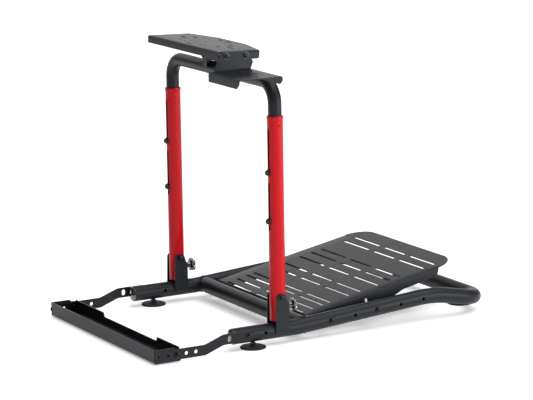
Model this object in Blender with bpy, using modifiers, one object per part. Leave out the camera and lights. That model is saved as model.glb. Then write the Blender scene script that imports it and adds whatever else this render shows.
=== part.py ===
"""Folding wheel stand for a racing simulator: a bent-tube base, a mast that folds and slides, a
tilting wheel deck with a shifter shelf, a tilting pedal deck and a swing-out caster tray.

+X is the driver's right, +Y points from the chair to the pedals, +Z is up.  Every piece is drawn in
the stand's own frame (mirror plane X = 0, front feet at Y = 0) and hangs from one empty, which
moves the whole stand so that its bounding box is centred over the origin.
"""

from math import atan2, cos, hypot, pi, radians, sin, tan

import bmesh
import bpy
from mathutils import Matrix, Vector

# ---- driving dimensions, metres ----
STAND_CENTRE = (0.02265, 0.2150)  # middle of the finished bounding box in the stand's own frame
GAP = 0.0004  # clearance between touching pieces
INSET = 0.0003  # how far a flange stands back from the edge of the sheet it is folded from

TUBE_R = 0.020  # base tubes and uprights
TUBE_WALL = 0.002
HALF_TRACK = 0.269  # mirror plane to the side tubes and uprights
STUB_Z = 0.0363
STUB_FRONT_Y = -0.060
SIDE_KINK_Y = 0.125
SIDE_APEX = (0.530, 0.066)  # Y, Z where the side tube turns down again
REAR_Y = 0.684
CORNER_R = 0.065
CROSS_Y = 0.148

MAST_Y = 0.0718
PIVOT_Z = 0.1205
UPRIGHT_Z = (0.061, 0.5637)
COLLAR_TOP_Z = 0.5745
LEG_R = 0.017
LEG_FOOT_Z = 0.270
CROWN_Z = 0.654
CROWN_BEND_R = 0.052
SLOT_W = 0.0085
SLOTS_Z = ((0.424, 0.546), (0.290, 0.409))
HEIGHT_BOLTS_Z = (0.4345, 0.3127)

BOLT_PITCH_Y = 0.068
PLATE_PIVOT_Y = 0.217  # first hole of the side tube, on which the pedal deck tilts
SPARE_HOLE_R = 0.00425
PEDAL_HALF_W = 0.233
PEDAL_LENGTH = 0.462
PEDAL_SLOPE = radians(10.6)
PEDAL_FRONT = (0.1735, 0.0520)  # Y, Z of the front edge of its top face
PEDAL_T = 0.0025

ARM_BOLT = (-0.0222, 0.0384)  # Y, Z
ARM_T = 0.003
TRAY_Y = (-0.285, -0.215)
TRAY_Z = (0.003, 0.0385)
SHEET_T = 0.0025

DECK_HALF_W = 0.1885
DECK_T = 0.003
DECK_TILT = radians(-2.1)
DECK_Y = (-0.038, 0.0787, 0.1055)  # front edge, shoulders, rear edge
DECK_TOP_Z = 0.7305
DECK_PIVOT = (0.058, 0.688)  # Y, Z
DECK_LOCK_R = 0.026
SHELF_Z = 0.684

STEEL = (0.030, 0.031, 0.034)
DARK = (0.012, 0.012, 0.013)
RED = (0.50, 0.004, 0.012)

for item in list(bpy.data.objects):
    bpy.data.objects.remove(item, do_unlink=True)


# ---- collections, materials and small modelling helpers ----
def collection(name):
    made = bpy.data.collections.new(name)
    bpy.context.scene.collection.children.link(made)
    return made


PIECES = collection("wheel_stand")
HELPERS = collection("wheel_stand_cutters")


def material(name, colour, roughness, metallic=0.0):
    made = bpy.data.materials.new(name)
    made.use_nodes = True
    shader = made.node_tree.nodes["Principled BSDF"]
    shader.inputs["Base Color"].default_value = (*colour, 1.0)
    shader.inputs["Roughness"].default_value = roughness
    shader.inputs["Metallic"].default_value = metallic
    return made


def empty(name, location, parent=None):
    made = bpy.data.objects.new(name, None)
    made.empty_display_size = 0.05
    made.location = location
    made.parent = parent
    HELPERS.objects.link(made)
    return made


STAND = empty("stand", (-STAND_CENTRE[0], -STAND_CENTRE[1], 0.0))


def joint_empty(name, x, y, z):
    return empty(name, (x, y, z), STAND)


def hang(piece, joint=None):
    """Parents a piece drawn in the stand's frame to the stand, or to an empty on its joint's axis."""
    piece.parent = joint or STAND
    if joint:
        piece.matrix_parent_inverse = Matrix.Translation(-joint.location)


def object_of(name, mesh, cutter=False):
    made = bpy.data.objects.new(name, mesh)
    (HELPERS if cutter else PIECES).objects.link(made)
    if cutter:
        made.hide_render = True
        made.display_type = "WIRE"
        hang(made)
    return made


def mesh_of(build):
    mesh = bpy.data.meshes.new("shape")
    built = bmesh.new()
    build(built)
    bmesh.ops.recalc_face_normals(built, faces=built.faces)
    built.to_mesh(mesh)
    built.free()
    return mesh


def as_mesh(name, curve_object, cutter=False):
    """The curve's own surface as a welded mesh object; the curve is removed."""
    graph = bpy.context.evaluated_depsgraph_get()
    mesh = bpy.data.meshes.new_from_object(curve_object.evaluated_get(graph))
    matrix = curve_object.matrix_world.copy()
    welded = bmesh.new()
    welded.from_mesh(mesh)
    bmesh.ops.remove_doubles(welded, verts=welded.verts, dist=1e-6)
    bmesh.ops.recalc_face_normals(welded, faces=welded.faces)
    welded.transform(matrix)
    welded.to_mesh(mesh)
    welded.free()
    bpy.data.objects.remove(curve_object, do_unlink=True)
    return object_of(name, mesh, cutter)


def finish(piece, paint, joint=None, smooth=True):
    piece.data.materials.clear()
    piece.data.materials.append(paint)
    if smooth:
        piece.data.shade_smooth()
        piece.data.set_sharp_from_angle(angle=radians(35))
    hang(piece, joint)
    return piece


def boolean(piece, other, operation="DIFFERENCE"):
    step = piece.modifiers.new(operation.lower(), "BOOLEAN")
    step.operation = operation
    step.object = other
    return piece


def turn_matrix(centre, axis):
    """Carries +Z onto the axis and the origin onto the centre."""
    return Matrix.Translation(centre) @ Vector(axis).to_track_quat("Z", "Y").to_matrix().to_4x4()


def cylinder(name, radius, length, centre, axis=(0, 0, 1), sides=16, cutter=True):
    matrix = turn_matrix(centre, axis)

    def build(built):
        bmesh.ops.create_cone(
            built, cap_ends=True, segments=sides, radius1=radius, radius2=radius, depth=length,
            matrix=matrix)

    return object_of(name, mesh_of(build), cutter)


def box(name, low, high, cutter=True):
    size = Vector(high) - Vector(low)
    middle = (Vector(high) + Vector(low)) / 2
    matrix = Matrix.Translation(middle) @ Matrix.Diagonal((*size, 1.0))
    return object_of(name, mesh_of(lambda built: bmesh.ops.create_cube(built, size=1, matrix=matrix)), cutter)


def rounded_path(corners):
    """A path through (point, bend radius, steps) corners, each bend a circular arc."""
    points = [Vector(corners[0][0])]
    for before, (at, radius, steps), after in zip(corners, corners[1:], corners[2:]):
        at = Vector(at)
        back = (Vector(before[0]) - at).normalized()
        on = (Vector(after[0]) - at).normalized()
        half = back.angle(on) / 2
        centre = at + (back + on).normalized() * radius / sin(half)
        start = at + back * radius / tan(half) - centre
        end = at + on * radius / tan(half) - centre
        sweep = start.angle(end)
        for step in range(steps + 1):
            share = step / steps
            points.append(centre + (start * sin((1 - share) * sweep) + end * sin(share * sweep)) / sin(sweep))
    points.append(Vector(corners[-1][0]))
    return points


def clear_of(radius, sides=24):
    """Radius of a cutter whose flats stand the usual gap off a round piece."""
    return (radius + GAP) / cos(pi / sides)


def rod(name, points, radius, cutter=False, detail=6):
    """A solid round bar along a path: a curve with a bevel, made a mesh."""
    data = bpy.data.curves.new(name, "CURVE")
    data.dimensions = "3D"
    data.bevel_depth = radius
    data.bevel_resolution = detail
    data.use_fill_caps = True
    line = data.splines.new("POLY")
    line.points.add(len(points) - 1)
    for slot, point in zip(line.points, points):
        slot.co = (*point, 1.0)
    guide = bpy.data.objects.new(name + "_path", data)
    HELPERS.objects.link(guide)
    return as_mesh(name, guide, cutter)


def tube(name, points, radius, wall, detail=6):
    """A rod with its bore cut out; the bore runs past both ends."""
    points = [Vector(point) for point in points]
    bore = list(points)
    bore[0] = points[0] + (points[0] - points[1]).normalized() * 0.01
    bore[-1] = points[-1] + (points[-1] - points[-2]).normalized() * 0.01
    return boolean(rod(name, points, radius, detail=detail), rod(name + "_bore", bore, radius - wall, True, detail))


def arc_points(centre, radius, start, end, steps):
    """Points on a circle between two angles in degrees."""
    turns = [radians(start + (end - start) * step / steps) for step in range(steps + 1)]
    return [(centre[0] + radius * cos(turn), centre[1] + radius * sin(turn)) for turn in turns]


def obround(centre, length, width, angle=0.0, steps=4):
    """A slot outline: two half circles joined by straight sides, turned by an angle in degrees."""
    reach = (length - width) / 2
    ends = arc_points((reach, 0), width / 2, -90, 90, steps) + arc_points((-reach, 0), width / 2, 90, 270, steps)
    c, s = cos(radians(angle)), sin(radians(angle))
    return [(centre[0] + c * x - s * y, centre[1] + s * x + c * y) for x, y in ends]


def hole(centre, radius, sides=8):
    return arc_points(centre, radius, 0, 360 - 360 / sides, sides - 1)


def plate(name, outlines, thickness, matrix, cutter=False):
    """A flat plate: 2D outlines (first the rim, then its holes), extruded to both sides of its plane."""
    data = bpy.data.curves.new(name, "CURVE")
    data.dimensions = "2D"
    data.fill_mode = "BOTH"
    data.extrude = thickness / 2
    for outline in outlines:
        line = data.splines.new("POLY")
        line.points.add(len(outline) - 1)
        line.use_cyclic_u = True
        for slot, (x, y) in zip(line.points, outline):
            slot.co = (x, y, 0.0, 1.0)
    flat = bpy.data.objects.new(name + "_outline", data)
    HELPERS.objects.link(flat)
    flat.matrix_world = matrix
    bpy.context.view_layer.update()
    return as_mesh(name, flat, cutter)


def side_plate(name, outlines, x, thickness, cutter=False):
    """A plate that stands in a Y-Z plane; its outline is drawn as (Y, Z)."""
    matrix = Matrix(((0, 0, 1, x), (1, 0, 0, 0), (0, 1, 0, 0), (0, 0, 0, 1)))
    return plate(name, outlines, thickness, matrix, cutter)


def join(piece, others):
    for other in others:
        boolean(piece, other, "UNION")
    return piece


def turned(name, profile, centre, axis, steps=12):
    """A turned solid: (radius, height) points from the top down, spun about the axis."""
    mesh = bpy.data.meshes.new(name)
    mesh.from_pydata([(r, 0.0, h) for r, h in profile], [(i, i + 1) for i in range(len(profile) - 1)], [])
    mesh.transform(Matrix.Identity(4))
    piece = object_of(name, mesh)
    spin = piece.modifiers.new("spin", "SCREW")
    spin.steps = spin.render_steps = steps
    spin.use_merge_vertices = True
    spin.merge_threshold = 1e-5
    piece.matrix_world = turn_matrix(centre, axis)
    bpy.context.view_layer.update()
    graph = bpy.context.evaluated_depsgraph_get()
    solid = bpy.data.meshes.new_from_object(piece.evaluated_get(graph))
    solid.transform(piece.matrix_world)
    bpy.data.objects.remove(piece, do_unlink=True)
    return object_of(name, solid)


def bolt(name, seat, axis, shank, head_r=0.0065, head_h=0.005, washer_r=0.0095, shank_r=0.003):
    """A button-head bolt with its washer: seat is the centre of the washer's underside and the axis
    points out of the head."""
    washer_h = 0.0015
    top = washer_h + head_h
    profile = [(0.0, top), (head_r * 0.75, top), (head_r, top - 0.002), (head_r, washer_h),
               (washer_r, washer_h), (washer_r, 0.0), (shank_r, 0.0), (shank_r, -shank), (0.0, -shank)]
    return turned(name, profile, seat, axis)


BLACK_COAT = material("black_powder_coat", STEEL, 0.45, 0.2)
RED_COAT = material("red_powder_coat", RED, 0.28)
BLACK_PLASTIC = material("black_plastic", DARK, 0.35)
BLACK_BOLT = material("blackened_bolt", DARK, 0.35, 0.8)
RUBBER = material("black_rubber", (0.015, 0.015, 0.015), 0.8)

SIDES = (("left", -1), ("right", 1))


# ---- base frame ----
def base_path():
    """Centreline of the base tube from the left stub round the rear to the right stub."""
    half = [
        ((-HALF_TRACK, STUB_FRONT_Y, STUB_Z), 0.0, 0),
        ((-HALF_TRACK, SIDE_KINK_Y, STUB_Z), 0.120, 2),
        ((-HALF_TRACK, *SIDE_APEX), 0.350, 5),
        ((-HALF_TRACK, REAR_Y, STUB_Z), CORNER_R, 6),
    ]
    mirrored = [((-x, y, z), radius, steps) for (x, y, z), radius, steps in reversed(half)]
    return rounded_path(half + mirrored)


def side_tube_z(y):
    """Height of the side tube's axis on its rising stretch."""
    rise = (SIDE_APEX[1] - STUB_Z) / (SIDE_APEX[0] - SIDE_KINK_Y)
    return STUB_Z + max(0.0, y - SIDE_KINK_Y) * rise


SIDE_HOLES_Y = [PLATE_PIVOT_Y + BOLT_PITCH_Y * step for step in range(5)]
BOLTED_HOLES = (0, 2)
FEET = [("front_left", -HALF_TRACK, 0.0), ("front_right", HALF_TRACK, 0.0),
        ("rear_left", -0.160, REAR_Y), ("rear_right", 0.160, REAR_Y)]


def make_base_tube():
    base = tube("base_tube", base_path(), TUBE_R, TUBE_WALL, detail=5)
    for number, y in enumerate(SIDE_HOLES_Y):
        radius = 0.0036 if number in BOLTED_HOLES else SPARE_HOLE_R
        for side, sign in SIDES:
            cutter = cylinder(
                f"side_hole_{number}_{side}", radius, 0.06, (sign * HALF_TRACK, y, side_tube_z(y)), (1, 0, 0), 8)
            boolean(base, cutter)
    for side, sign in SIDES:
        boolean(base, cylinder(f"arm_hole_{side}", 0.0036, 0.03, (sign * 0.290, *ARM_BOLT), (1, 0, 0), 8))
        boolean(base, cylinder(f"spare_arm_hole_{side}", 0.0036, 0.03, (sign * 0.290, 0.0262, ARM_BOLT[1]), (1, 0, 0), 8))
    for name, x, y in FEET:
        boolean(base, cylinder(f"foot_hole_{name}", 0.0047, 0.030, (x, y, 0.016), sides=8))
    return finish(base, BLACK_COAT)


def make_cross_tube():
    """Front cross tube, coped round the side tubes."""
    z = side_tube_z(CROSS_Y)
    cross = tube("front_cross_tube", [(-0.262, CROSS_Y, z), (0.262, CROSS_Y, z)], TUBE_R, TUBE_WALL, detail=5)
    for side, sign in SIDES:
        at = [Vector((sign * HALF_TRACK, y, side_tube_z(y))) for y in (0.126, 0.2)]
        boolean(cross, rod(f"cope_{side}", [at[0] - (at[1] - at[0]), at[1]], clear_of(TUBE_R), True, 10))
    return finish(cross, BLACK_COAT)


def make_end_cap(side, sign):
    """Plug with a low dome in the open front end of the stub."""
    plug = TUBE_R - TUBE_WALL - 2 * GAP
    profile = [(0.0, 0.006), (0.010, 0.0055), (0.0165, 0.0035), (0.0195, 0.0008), (0.0195, 0.0),
               (plug, 0.0), (plug, -0.012), (0.0, -0.012)]
    seat = (sign * HALF_TRACK, STUB_FRONT_Y - GAP, STUB_Z)
    return finish(turned(f"stub_end_cap_{side}", profile, seat, (0, -1, 0), 16), BLACK_PLASTIC)


CHEEK_T = 0.0028
CHEEK_IN = TUBE_R + GAP
WEB_Y = MAST_Y + TUBE_R + 0.0003
KNOB_Z = 0.0944


def make_hinge_bracket(side, sign):
    """Channel with two cheeks and a rear web, standing astride the stub."""
    web_t = 0.002
    back = WEB_Y + web_t
    outline = ([(0.053, 0.032), (back, 0.032), (back, 0.104)]
               + arc_points((0.0775, 0.1205), 0.0115, 20, 90, 3)
               + arc_points((0.0670, 0.1205), 0.0115, 90, 170, 3))
    middle = sign * HALF_TRACK
    cheeks = [side_plate(f"hinge_bracket_{side}" if out < 0 else f"cheek_{side}", [outline],
                         middle + out * (CHEEK_IN + CHEEK_T / 2), CHEEK_T, out > 0) for out in (-1, 1)]
    half = CHEEK_IN + CHEEK_T * 0.6
    web = box(f"web_{side}", (middle - half, WEB_Y, 0.045), (middle + half, back - INSET, 0.104 - INSET))
    bracket = join(cheeks[0], [cheeks[1], web])
    stub = [(middle, 0.0, STUB_Z), (middle, SIDE_KINK_Y, STUB_Z)]
    boolean(bracket, rod(f"stub_clearance_{side}", stub, clear_of(TUBE_R), True, 10))
    boolean(bracket, cylinder(f"pivot_hole_{side}", 0.0044, 0.08, (middle, MAST_Y, PIVOT_Z), (1, 0, 0), 12))
    boolean(bracket, cylinder(f"stud_hole_{side}", 0.0045, 0.02, (middle, WEB_Y, KNOB_Z), (0, 1, 0), 12))
    return finish(bracket, BLACK_COAT)


def make_pivot(side, sign):
    """Shouldered pivot bolt through the cheeks and the upright, and its lock nut."""
    face = CHEEK_IN + CHEEK_T + GAP
    seat = (sign * HALF_TRACK + face, MAST_Y, PIVOT_Z)
    nut_face = sign * HALF_TRACK - face
    pivot = bolt(f"mast_pivot_bolt_{side}", seat, (1, 0, 0), 2 * face + 0.008, 0.0068, 0.0045, 0.0098, 0.004)
    finish(pivot, BLACK_BOLT)
    nut = cylinder(f"mast_pivot_nut_{side}", 0.0075, 0.0065, (nut_face - 0.00325, MAST_Y, PIVOT_Z), (1, 0, 0), 6, False)
    boolean(nut, cylinder(f"nut_bore_{side}", 0.0043, 0.03, (nut_face, MAST_Y, PIVOT_Z), (1, 0, 0), 12))
    return finish(nut, BLACK_BOLT, smooth=False)


def make_lock_knob(side, sign):
    """Five-lobed knob on a stud that passes the web and bears on the upright above its tail."""
    middle = sign * HALF_TRACK
    axle = joint_empty(f"knob_axis_{side}", middle, WEB_Y + 0.02, KNOB_Z)
    lobes, hub_y, hub_length, thick = 5, WEB_Y + 0.0024, 0.0165, 0.011
    rim = []
    for step in range(lobes * 8):
        turn = 2 * pi * step / (lobes * 8)
        reach = 0.0158 + 0.0026 * cos(lobes * turn)
        rim.append((reach * cos(turn), reach * sin(turn)))
    matrix = turn_matrix((middle, hub_y + hub_length - 0.001 + thick / 2, KNOB_Z), (0, 1, 0))
    knob = plate(f"lock_knob_{side}", [rim], thick, matrix)
    hub = cylinder(f"knob_hub_{side}", 0.0068, hub_length, (middle, hub_y + hub_length / 2, KNOB_Z), (0, 1, 0), 12)
    boolean(join(knob, [hub]), cylinder(f"knob_bore_{side}", 0.0042, 0.05, (middle, hub_y, KNOB_Z), (0, 1, 0), 12))
    finish(knob, BLACK_PLASTIC, axle)
    start = WEB_Y + 0.0001
    length = hub_y + hub_length + 0.004 - start
    stud = cylinder(f"lock_stud_{side}", 0.0038, length, (middle, start + length / 2, KNOB_Z), (0, 1, 0), 12, False)
    finish(stud, BLACK_BOLT, axle)


def make_foot(name, x, y):
    """Levelling foot: a threaded stem with a jam nut, and a round pad it turns in."""
    axis = joint_empty(f"foot_axis_{name}", x, y, 0.0)
    pad = [(0.0, 0.0085), (0.0085, 0.0085), (0.0095, 0.0055), (0.0310, 0.0042), (0.0325, 0.0030),
           (0.0325, 0.0), (0.0, 0.0)]
    finish(turned(f"foot_pad_{name}", pad, (x, y, 0.0), (0, 0, 1), 20), RUBBER, axis)
    stem = [(0.0, 0.0315), (0.0042, 0.0315), (0.0042, 0.0150), (0.0068, 0.0150), (0.0068, 0.0090),
            (0.0, 0.0090)]
    finish(turned(f"foot_stem_{name}", stem, (x, y, 0.0), (0, 0, 1), 12), BLACK_BOLT, axis)


# ---- mast ----
MAST = joint_empty("mast_pivot", 0.0, MAST_Y, PIVOT_Z)


def make_upright(side, sign):
    """Red outer tube with two height slots in its front wall, pivoted near its lower end."""
    middle = sign * HALF_TRACK
    ends = [(middle, MAST_Y, UPRIGHT_Z[0]), (middle, MAST_Y, UPRIGHT_Z[1])]
    upright = tube(f"upright_{side}", ends, TUBE_R, 0.0015, detail=8)
    front = MAST_Y - TUBE_R
    for number, (low, high) in enumerate(SLOTS_Z):
        matrix = turn_matrix((middle, front, (low + high) / 2), (0, -1, 0))
        slot = plate(f"height_slot_{number}_{side}", [obround((0, 0), high - low, SLOT_W, 90)], 0.016, matrix, True)
        boolean(upright, slot)
    boolean(upright, cylinder(f"upright_pivot_hole_{side}", 0.0043, 0.06, (middle, MAST_Y, PIVOT_Z), (1, 0, 0), 12))
    return finish(upright, RED_COAT, MAST)


def make_collar(side, sign):
    """Bush pressed into the top of the upright, with a rolled rim that the inner leg slides through."""
    sleeve, bore = TUBE_R - 0.0015 - 0.0005, LEG_R + 0.0004
    top, rim_low = COLLAR_TOP_Z, UPRIGHT_Z[1] + 0.0003
    middle = (sign * HALF_TRACK, MAST_Y, 0.0)
    profile = [(bore, top), (TUBE_R, top), (TUBE_R + 0.0008, top - 0.002), (TUBE_R + 0.0008, top - 0.005),
               (TUBE_R, rim_low), (sleeve, rim_low), (sleeve, rim_low - 0.010), (bore, rim_low - 0.010), (bore, top)]
    return finish(turned(f"upright_collar_{side}", profile, middle, (0, 0, 1), 20), RED_COAT, MAST)


# ---- sliding crown ----
CROWN = joint_empty("crown_slide", 0.0, MAST_Y, CROWN_Z)


def make_crown_tube():
    """Inverted U of black tube whose legs slide in the uprights."""
    corners = [
        ((-HALF_TRACK, MAST_Y, LEG_FOOT_Z), 0.0, 0),
        ((-HALF_TRACK, MAST_Y, CROWN_Z), CROWN_BEND_R, 7),
        ((HALF_TRACK, MAST_Y, CROWN_Z), CROWN_BEND_R, 7),
        ((HALF_TRACK, MAST_Y, LEG_FOOT_Z), 0.0, 0),
    ]
    crown = tube("crown_tube", rounded_path(corners), LEG_R, TUBE_WALL, detail=6)
    for side, sign in SIDES:
        for number, z in enumerate(HEIGHT_BOLTS_Z):
            front = (sign * HALF_TRACK, MAST_Y - LEG_R, z)
            boolean(crown, cylinder(f"leg_hole_{number}_{side}", 0.0034, 0.02, front, (0, -1, 0), 8))
    return finish(crown, BLACK_COAT, CROWN)


def make_height_bolts(side, sign):
    for level, z in zip(("upper", "lower"), HEIGHT_BOLTS_Z):
        seat = (sign * HALF_TRACK, MAST_Y - TUBE_R - GAP, z)
        finish(bolt(f"height_bolt_{level}_{side}", seat, (0, -1, 0), 0.010, 0.0062, 0.006, 0.0092), BLACK_BOLT, CROWN)


def make_saddle():
    """Bent bracket that straddles the crown tube and carries the wheel deck."""
    half, top, foot = 0.055, 0.7035, 0.656
    back = MAST_Y + 0.024
    cheek = [(0.048, foot), (back, foot), (back, top - 0.006), (back - 0.006, top), (0.048, top)]
    parts = [side_plate("saddle_bracket" if out < 0 else "saddle_cheek", [cheek],
                        out * (half - 0.0015), 0.003, out > 0) for out in (-1, 1)]
    web = box("saddle_web", (-half + 0.001, 0.048 + INSET, top - 0.003), (half - 0.001, back - 0.006, top - INSET))
    flanges = [box(f"saddle_flange_{side}", (sign * (half - 0.010) - 0.009, 0.048 + 2 * INSET, foot + INSET),
                   (sign * (half - 0.010) + 0.009, 0.051, top - 2 * INSET)) for side, sign in SIDES]
    saddle = join(parts[0], [parts[1], web] + flanges)
    boolean(saddle, cylinder("crown_clearance", clear_of(LEG_R), 0.2, (0, MAST_Y, CROWN_Z), (1, 0, 0), 24))
    for spot, y in (("pivot", DECK_PIVOT[0]), ("lock", DECK_PIVOT[0] + DECK_LOCK_R)):
        boolean(saddle, cylinder(f"saddle_{spot}_hole", 0.0033, 0.2, (0, y, DECK_PIVOT[1]), (1, 0, 0), 12))
    return finish(saddle, BLACK_COAT, CROWN)


EAR_X, EAR_T = 0.0555, 0.003


def make_saddle_bolts(side, sign):
    for spot, y in (("pivot", DECK_PIVOT[0]), ("lock", DECK_PIVOT[0] + DECK_LOCK_R)):
        seat = (sign * (EAR_X + EAR_T + GAP), y, DECK_PIVOT[1])
        finish(bolt(f"deck_{spot}_bolt_{side}", seat, (sign, 0, 0), 0.016, 0.005, 0.004, 0.0075), BLACK_BOLT, CROWN)


# ---- wheel deck ----
DECK = joint_empty("deck_tilt", 0.0, *DECK_PIVOT)


def deck_frame(x=0.0):
    """Matrix of the deck's top face: local X across, Y back along the tilted face, Z out of it."""
    return Matrix.Translation((x, DECK_Y[0], DECK_TOP_Z)) @ Matrix.Rotation(DECK_TILT, 4, "X")


def deck_holes():
    """Bolt circles, slots and grid holes for several wheel bases.  The two halves are staggered by a
    tenth of a millimetre, so that no three corners of the outline fall on one line."""
    found = []
    for sign in (-1, 1):
        lift = 0.00005 * sign
        for x, y in ((0.040, 0.030), (0.0405, 0.100), (0.066, 0.0302), (0.0665, 0.1002)):
            found.append(hole((sign * x, y + lift), 0.0034))
        found.append(obround((sign * 0.092, 0.050 + lift), 0.020, 0.0068, 90 + 35 * sign))
        found.append(obround((sign * 0.092, 0.085 + lift), 0.020, 0.0068, 90 - 35 * sign))
        found.append(obround((sign * 0.125, 0.068 + lift), 0.030, 0.0068))
        found.append(obround((sign * 0.022, 0.120 + lift), 0.022, 0.0068))
    found.append(hole((0.0, 0.0662), 0.0034))
    found.append(obround((0.0, 0.020), 0.022, 0.0068))
    return found


def make_wheel_deck():
    """Folded plate with a front lip, side flanges and two ears under it."""
    shoulder, rear, flange = DECK_Y[1] - DECK_Y[0], DECK_Y[2] - DECK_Y[0], 0.021
    outline = [(-DECK_HALF_W, 0.0), (DECK_HALF_W, 0.0), (DECK_HALF_W, shoulder), (0.064, rear),
               (-0.064, rear), (-DECK_HALF_W, shoulder)]
    top = deck_frame() @ Matrix.Translation((0, 0, -DECK_T / 2))
    deck = plate("wheel_deck", [outline] + deck_holes(), DECK_T, top)
    w, top_edge = DECK_HALF_W - 2 * INSET, -DECK_T / 2
    lip = plate("deck_lip", [[(-w, -flange), (w, -flange), (w, top_edge), (-w, top_edge)]], DECK_T,
                deck_frame() @ Matrix.Rotation(pi / 2, 4, "X") @ Matrix.Translation((0, 0, -DECK_T / 2 - INSET)), True)
    parts = [lip]
    for side, sign in SIDES:
        low = -flange + INSET
        rim = [(0.0015, top_edge), (0.0015, low), (shoulder - 0.004, low), (shoulder - 0.001, low + 0.003),
               (shoulder - 0.001, top_edge)]
        sideways = deck_frame(sign * (DECK_HALF_W - DECK_T / 2 - INSET)) @ Matrix(
            ((0, 0, 1, 0), (1, 0, 0, 0), (0, 1, 0, 0), (0, 0, 0, 1)))
        parts.append(plate(f"deck_flange_{side}", [rim], DECK_T, sideways, True))
        parts.append(deck_ear(side, sign))
    deck = join(deck, parts)
    for number, (y, z) in enumerate(SHIFTER_BOLTS):
        boolean(deck, cylinder(f"shifter_hole_{number}", 0.0036, 0.02, (DECK_HALF_W, y, z), (1, 0, 0), 12))
    return finish(deck, BLACK_COAT, DECK)


def deck_ear(side, sign):
    """Ear with the tilt pivot hole and an arc slot for the lock bolt."""
    y, z = DECK_PIVOT
    rim = ([(y - 0.014, 0.7262)] + arc_points((y, z), 0.0125, 190, 270, 3)
           + arc_points((y + DECK_LOCK_R, z), 0.0125, 270, 350, 3) + [(y + DECK_LOCK_R + 0.014, 0.7240)])
    slot = (arc_points((y, z), DECK_LOCK_R + 0.0034, -16, 16, 5)
            + arc_points((y, z), DECK_LOCK_R - 0.0034, 16, -16, 5))
    x = sign * (EAR_X + EAR_T / 2)
    return side_plate(f"deck_ear_{side}", [rim, slot, hole((y, z), 0.0034, 12)], x, EAR_T, True)


SHIFTER_BOLTS = ((-0.0175, 0.7190), (0.0360, 0.7172))


def make_shifter_bracket():
    """Angle bracket on the deck's right flange: an upright web with a perforated shelf and lips."""
    inner = DECK_HALF_W + GAP
    outer_x, front, rear, t = 0.348, -0.0700, 0.0510, SHEET_T
    web = [(-0.0535, SHELF_Z - 0.0010), (0.0515, SHELF_Z - 0.0010), (0.0570, 0.7000), (0.0430, 0.7250),
           (0.0400, 0.7285), (-0.0305, 0.7300)]
    screws = [hole(at, 0.0036, 12) for at in SHIFTER_BOLTS]
    bracket = side_plate("shifter_bracket", [web] + screws, inner + t / 2, t)
    holes = [hole((inner + x, y), 0.0034) for x in (0.035, 0.075, 0.115) for y in (-0.040, 0.020)]
    holes += [obround((inner + x, -0.010), 0.018, 0.0068) for x in (0.055, 0.095, 0.135)]
    edge = inner + INSET
    shelf_rim = [(edge, front), (outer_x, front), (outer_x, rear), (edge, rear)]
    shelf = plate("shelf", [shelf_rim] + holes, t, Matrix.Translation((0, 0, SHELF_Z - t / 2)), True)
    lip_rim = [(edge + INSET, -0.023), (outer_x - 0.004, -0.023), (outer_x - 0.001, -0.018), (outer_x - 0.001, -t / 2),
               (edge + INSET, -t / 2)]
    lips = [plate(f"shelf_lip_{where}", [lip_rim], t,
                  Matrix.Translation((0, y, SHELF_Z)) @ Matrix.Rotation(pi / 2, 4, "X"), True)
            for where, y in (("front", front + INSET + t / 2), ("rear", rear - INSET - t / 2))]
    return finish(join(bracket, [shelf] + lips), BLACK_COAT, DECK)


def make_shifter_bolts():
    face = DECK_HALF_W + GAP + SHEET_T + GAP
    for place, (y, z) in zip(("front", "rear"), SHIFTER_BOLTS):
        finish(bolt(f"shifter_bolt_{place}", (face, y, z), (1, 0, 0), 0.011, 0.0062, 0.0045, 0.0092), BLACK_BOLT, DECK)


# ---- pedal deck ----
PEDALS = joint_empty("pedal_tilt", 0.0, PLATE_PIVOT_Y, side_tube_z(PLATE_PIVOT_Y))
SLOT_COLUMNS = ((-0.190, -0.060), (-0.037, 0.066), (0.087, 0.208))
SLOT_ROWS = (0.019, 0.048, 0.078, 0.100, 0.156, 0.191, 0.244, 0.281, 0.312, 0.386, 0.420)
PEDAL_SETBACK = 0.014  # distance of the front edge behind the line that the rows are measured from


def pedal_frame(x=0.0):
    return Matrix.Translation((x, *PEDAL_FRONT)) @ Matrix.Rotation(PEDAL_SLOPE, 4, "X")


def make_pedal_deck():
    """Slotted plate with rounded rear corners, side flanges with a deep lobe, and a front lip."""
    w, length, corner, t = PEDAL_HALF_W, PEDAL_LENGTH, 0.062, PEDAL_T
    rim = ([(-w, 0.0), (w, 0.0)] + arc_points((w - corner, length - corner), corner, 0, 90, 6)
           + arc_points((corner - w, length - corner), corner, 90, 180, 6))
    slots = [obround(((a + b) / 2, row - PEDAL_SETBACK + 0.003), b - a, 0.0068, steps=2)
             for row in SLOT_ROWS for a, b in SLOT_COLUMNS]
    deck = plate("pedal_deck", [rim] + slots, t, pedal_frame() @ Matrix.Translation((0, 0, -t / 2)))
    lip = box("pedal_lip", (-w + 2 * INSET, INSET, -0.010), (w - 2 * INSET, t + INSET, -t / 2))
    lip.data.transform(pedal_frame())
    parts = [lip] + [pedal_flange(side, sign) for side, sign in SIDES]
    return finish(join(deck, parts), BLACK_COAT, PEDALS)


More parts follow.
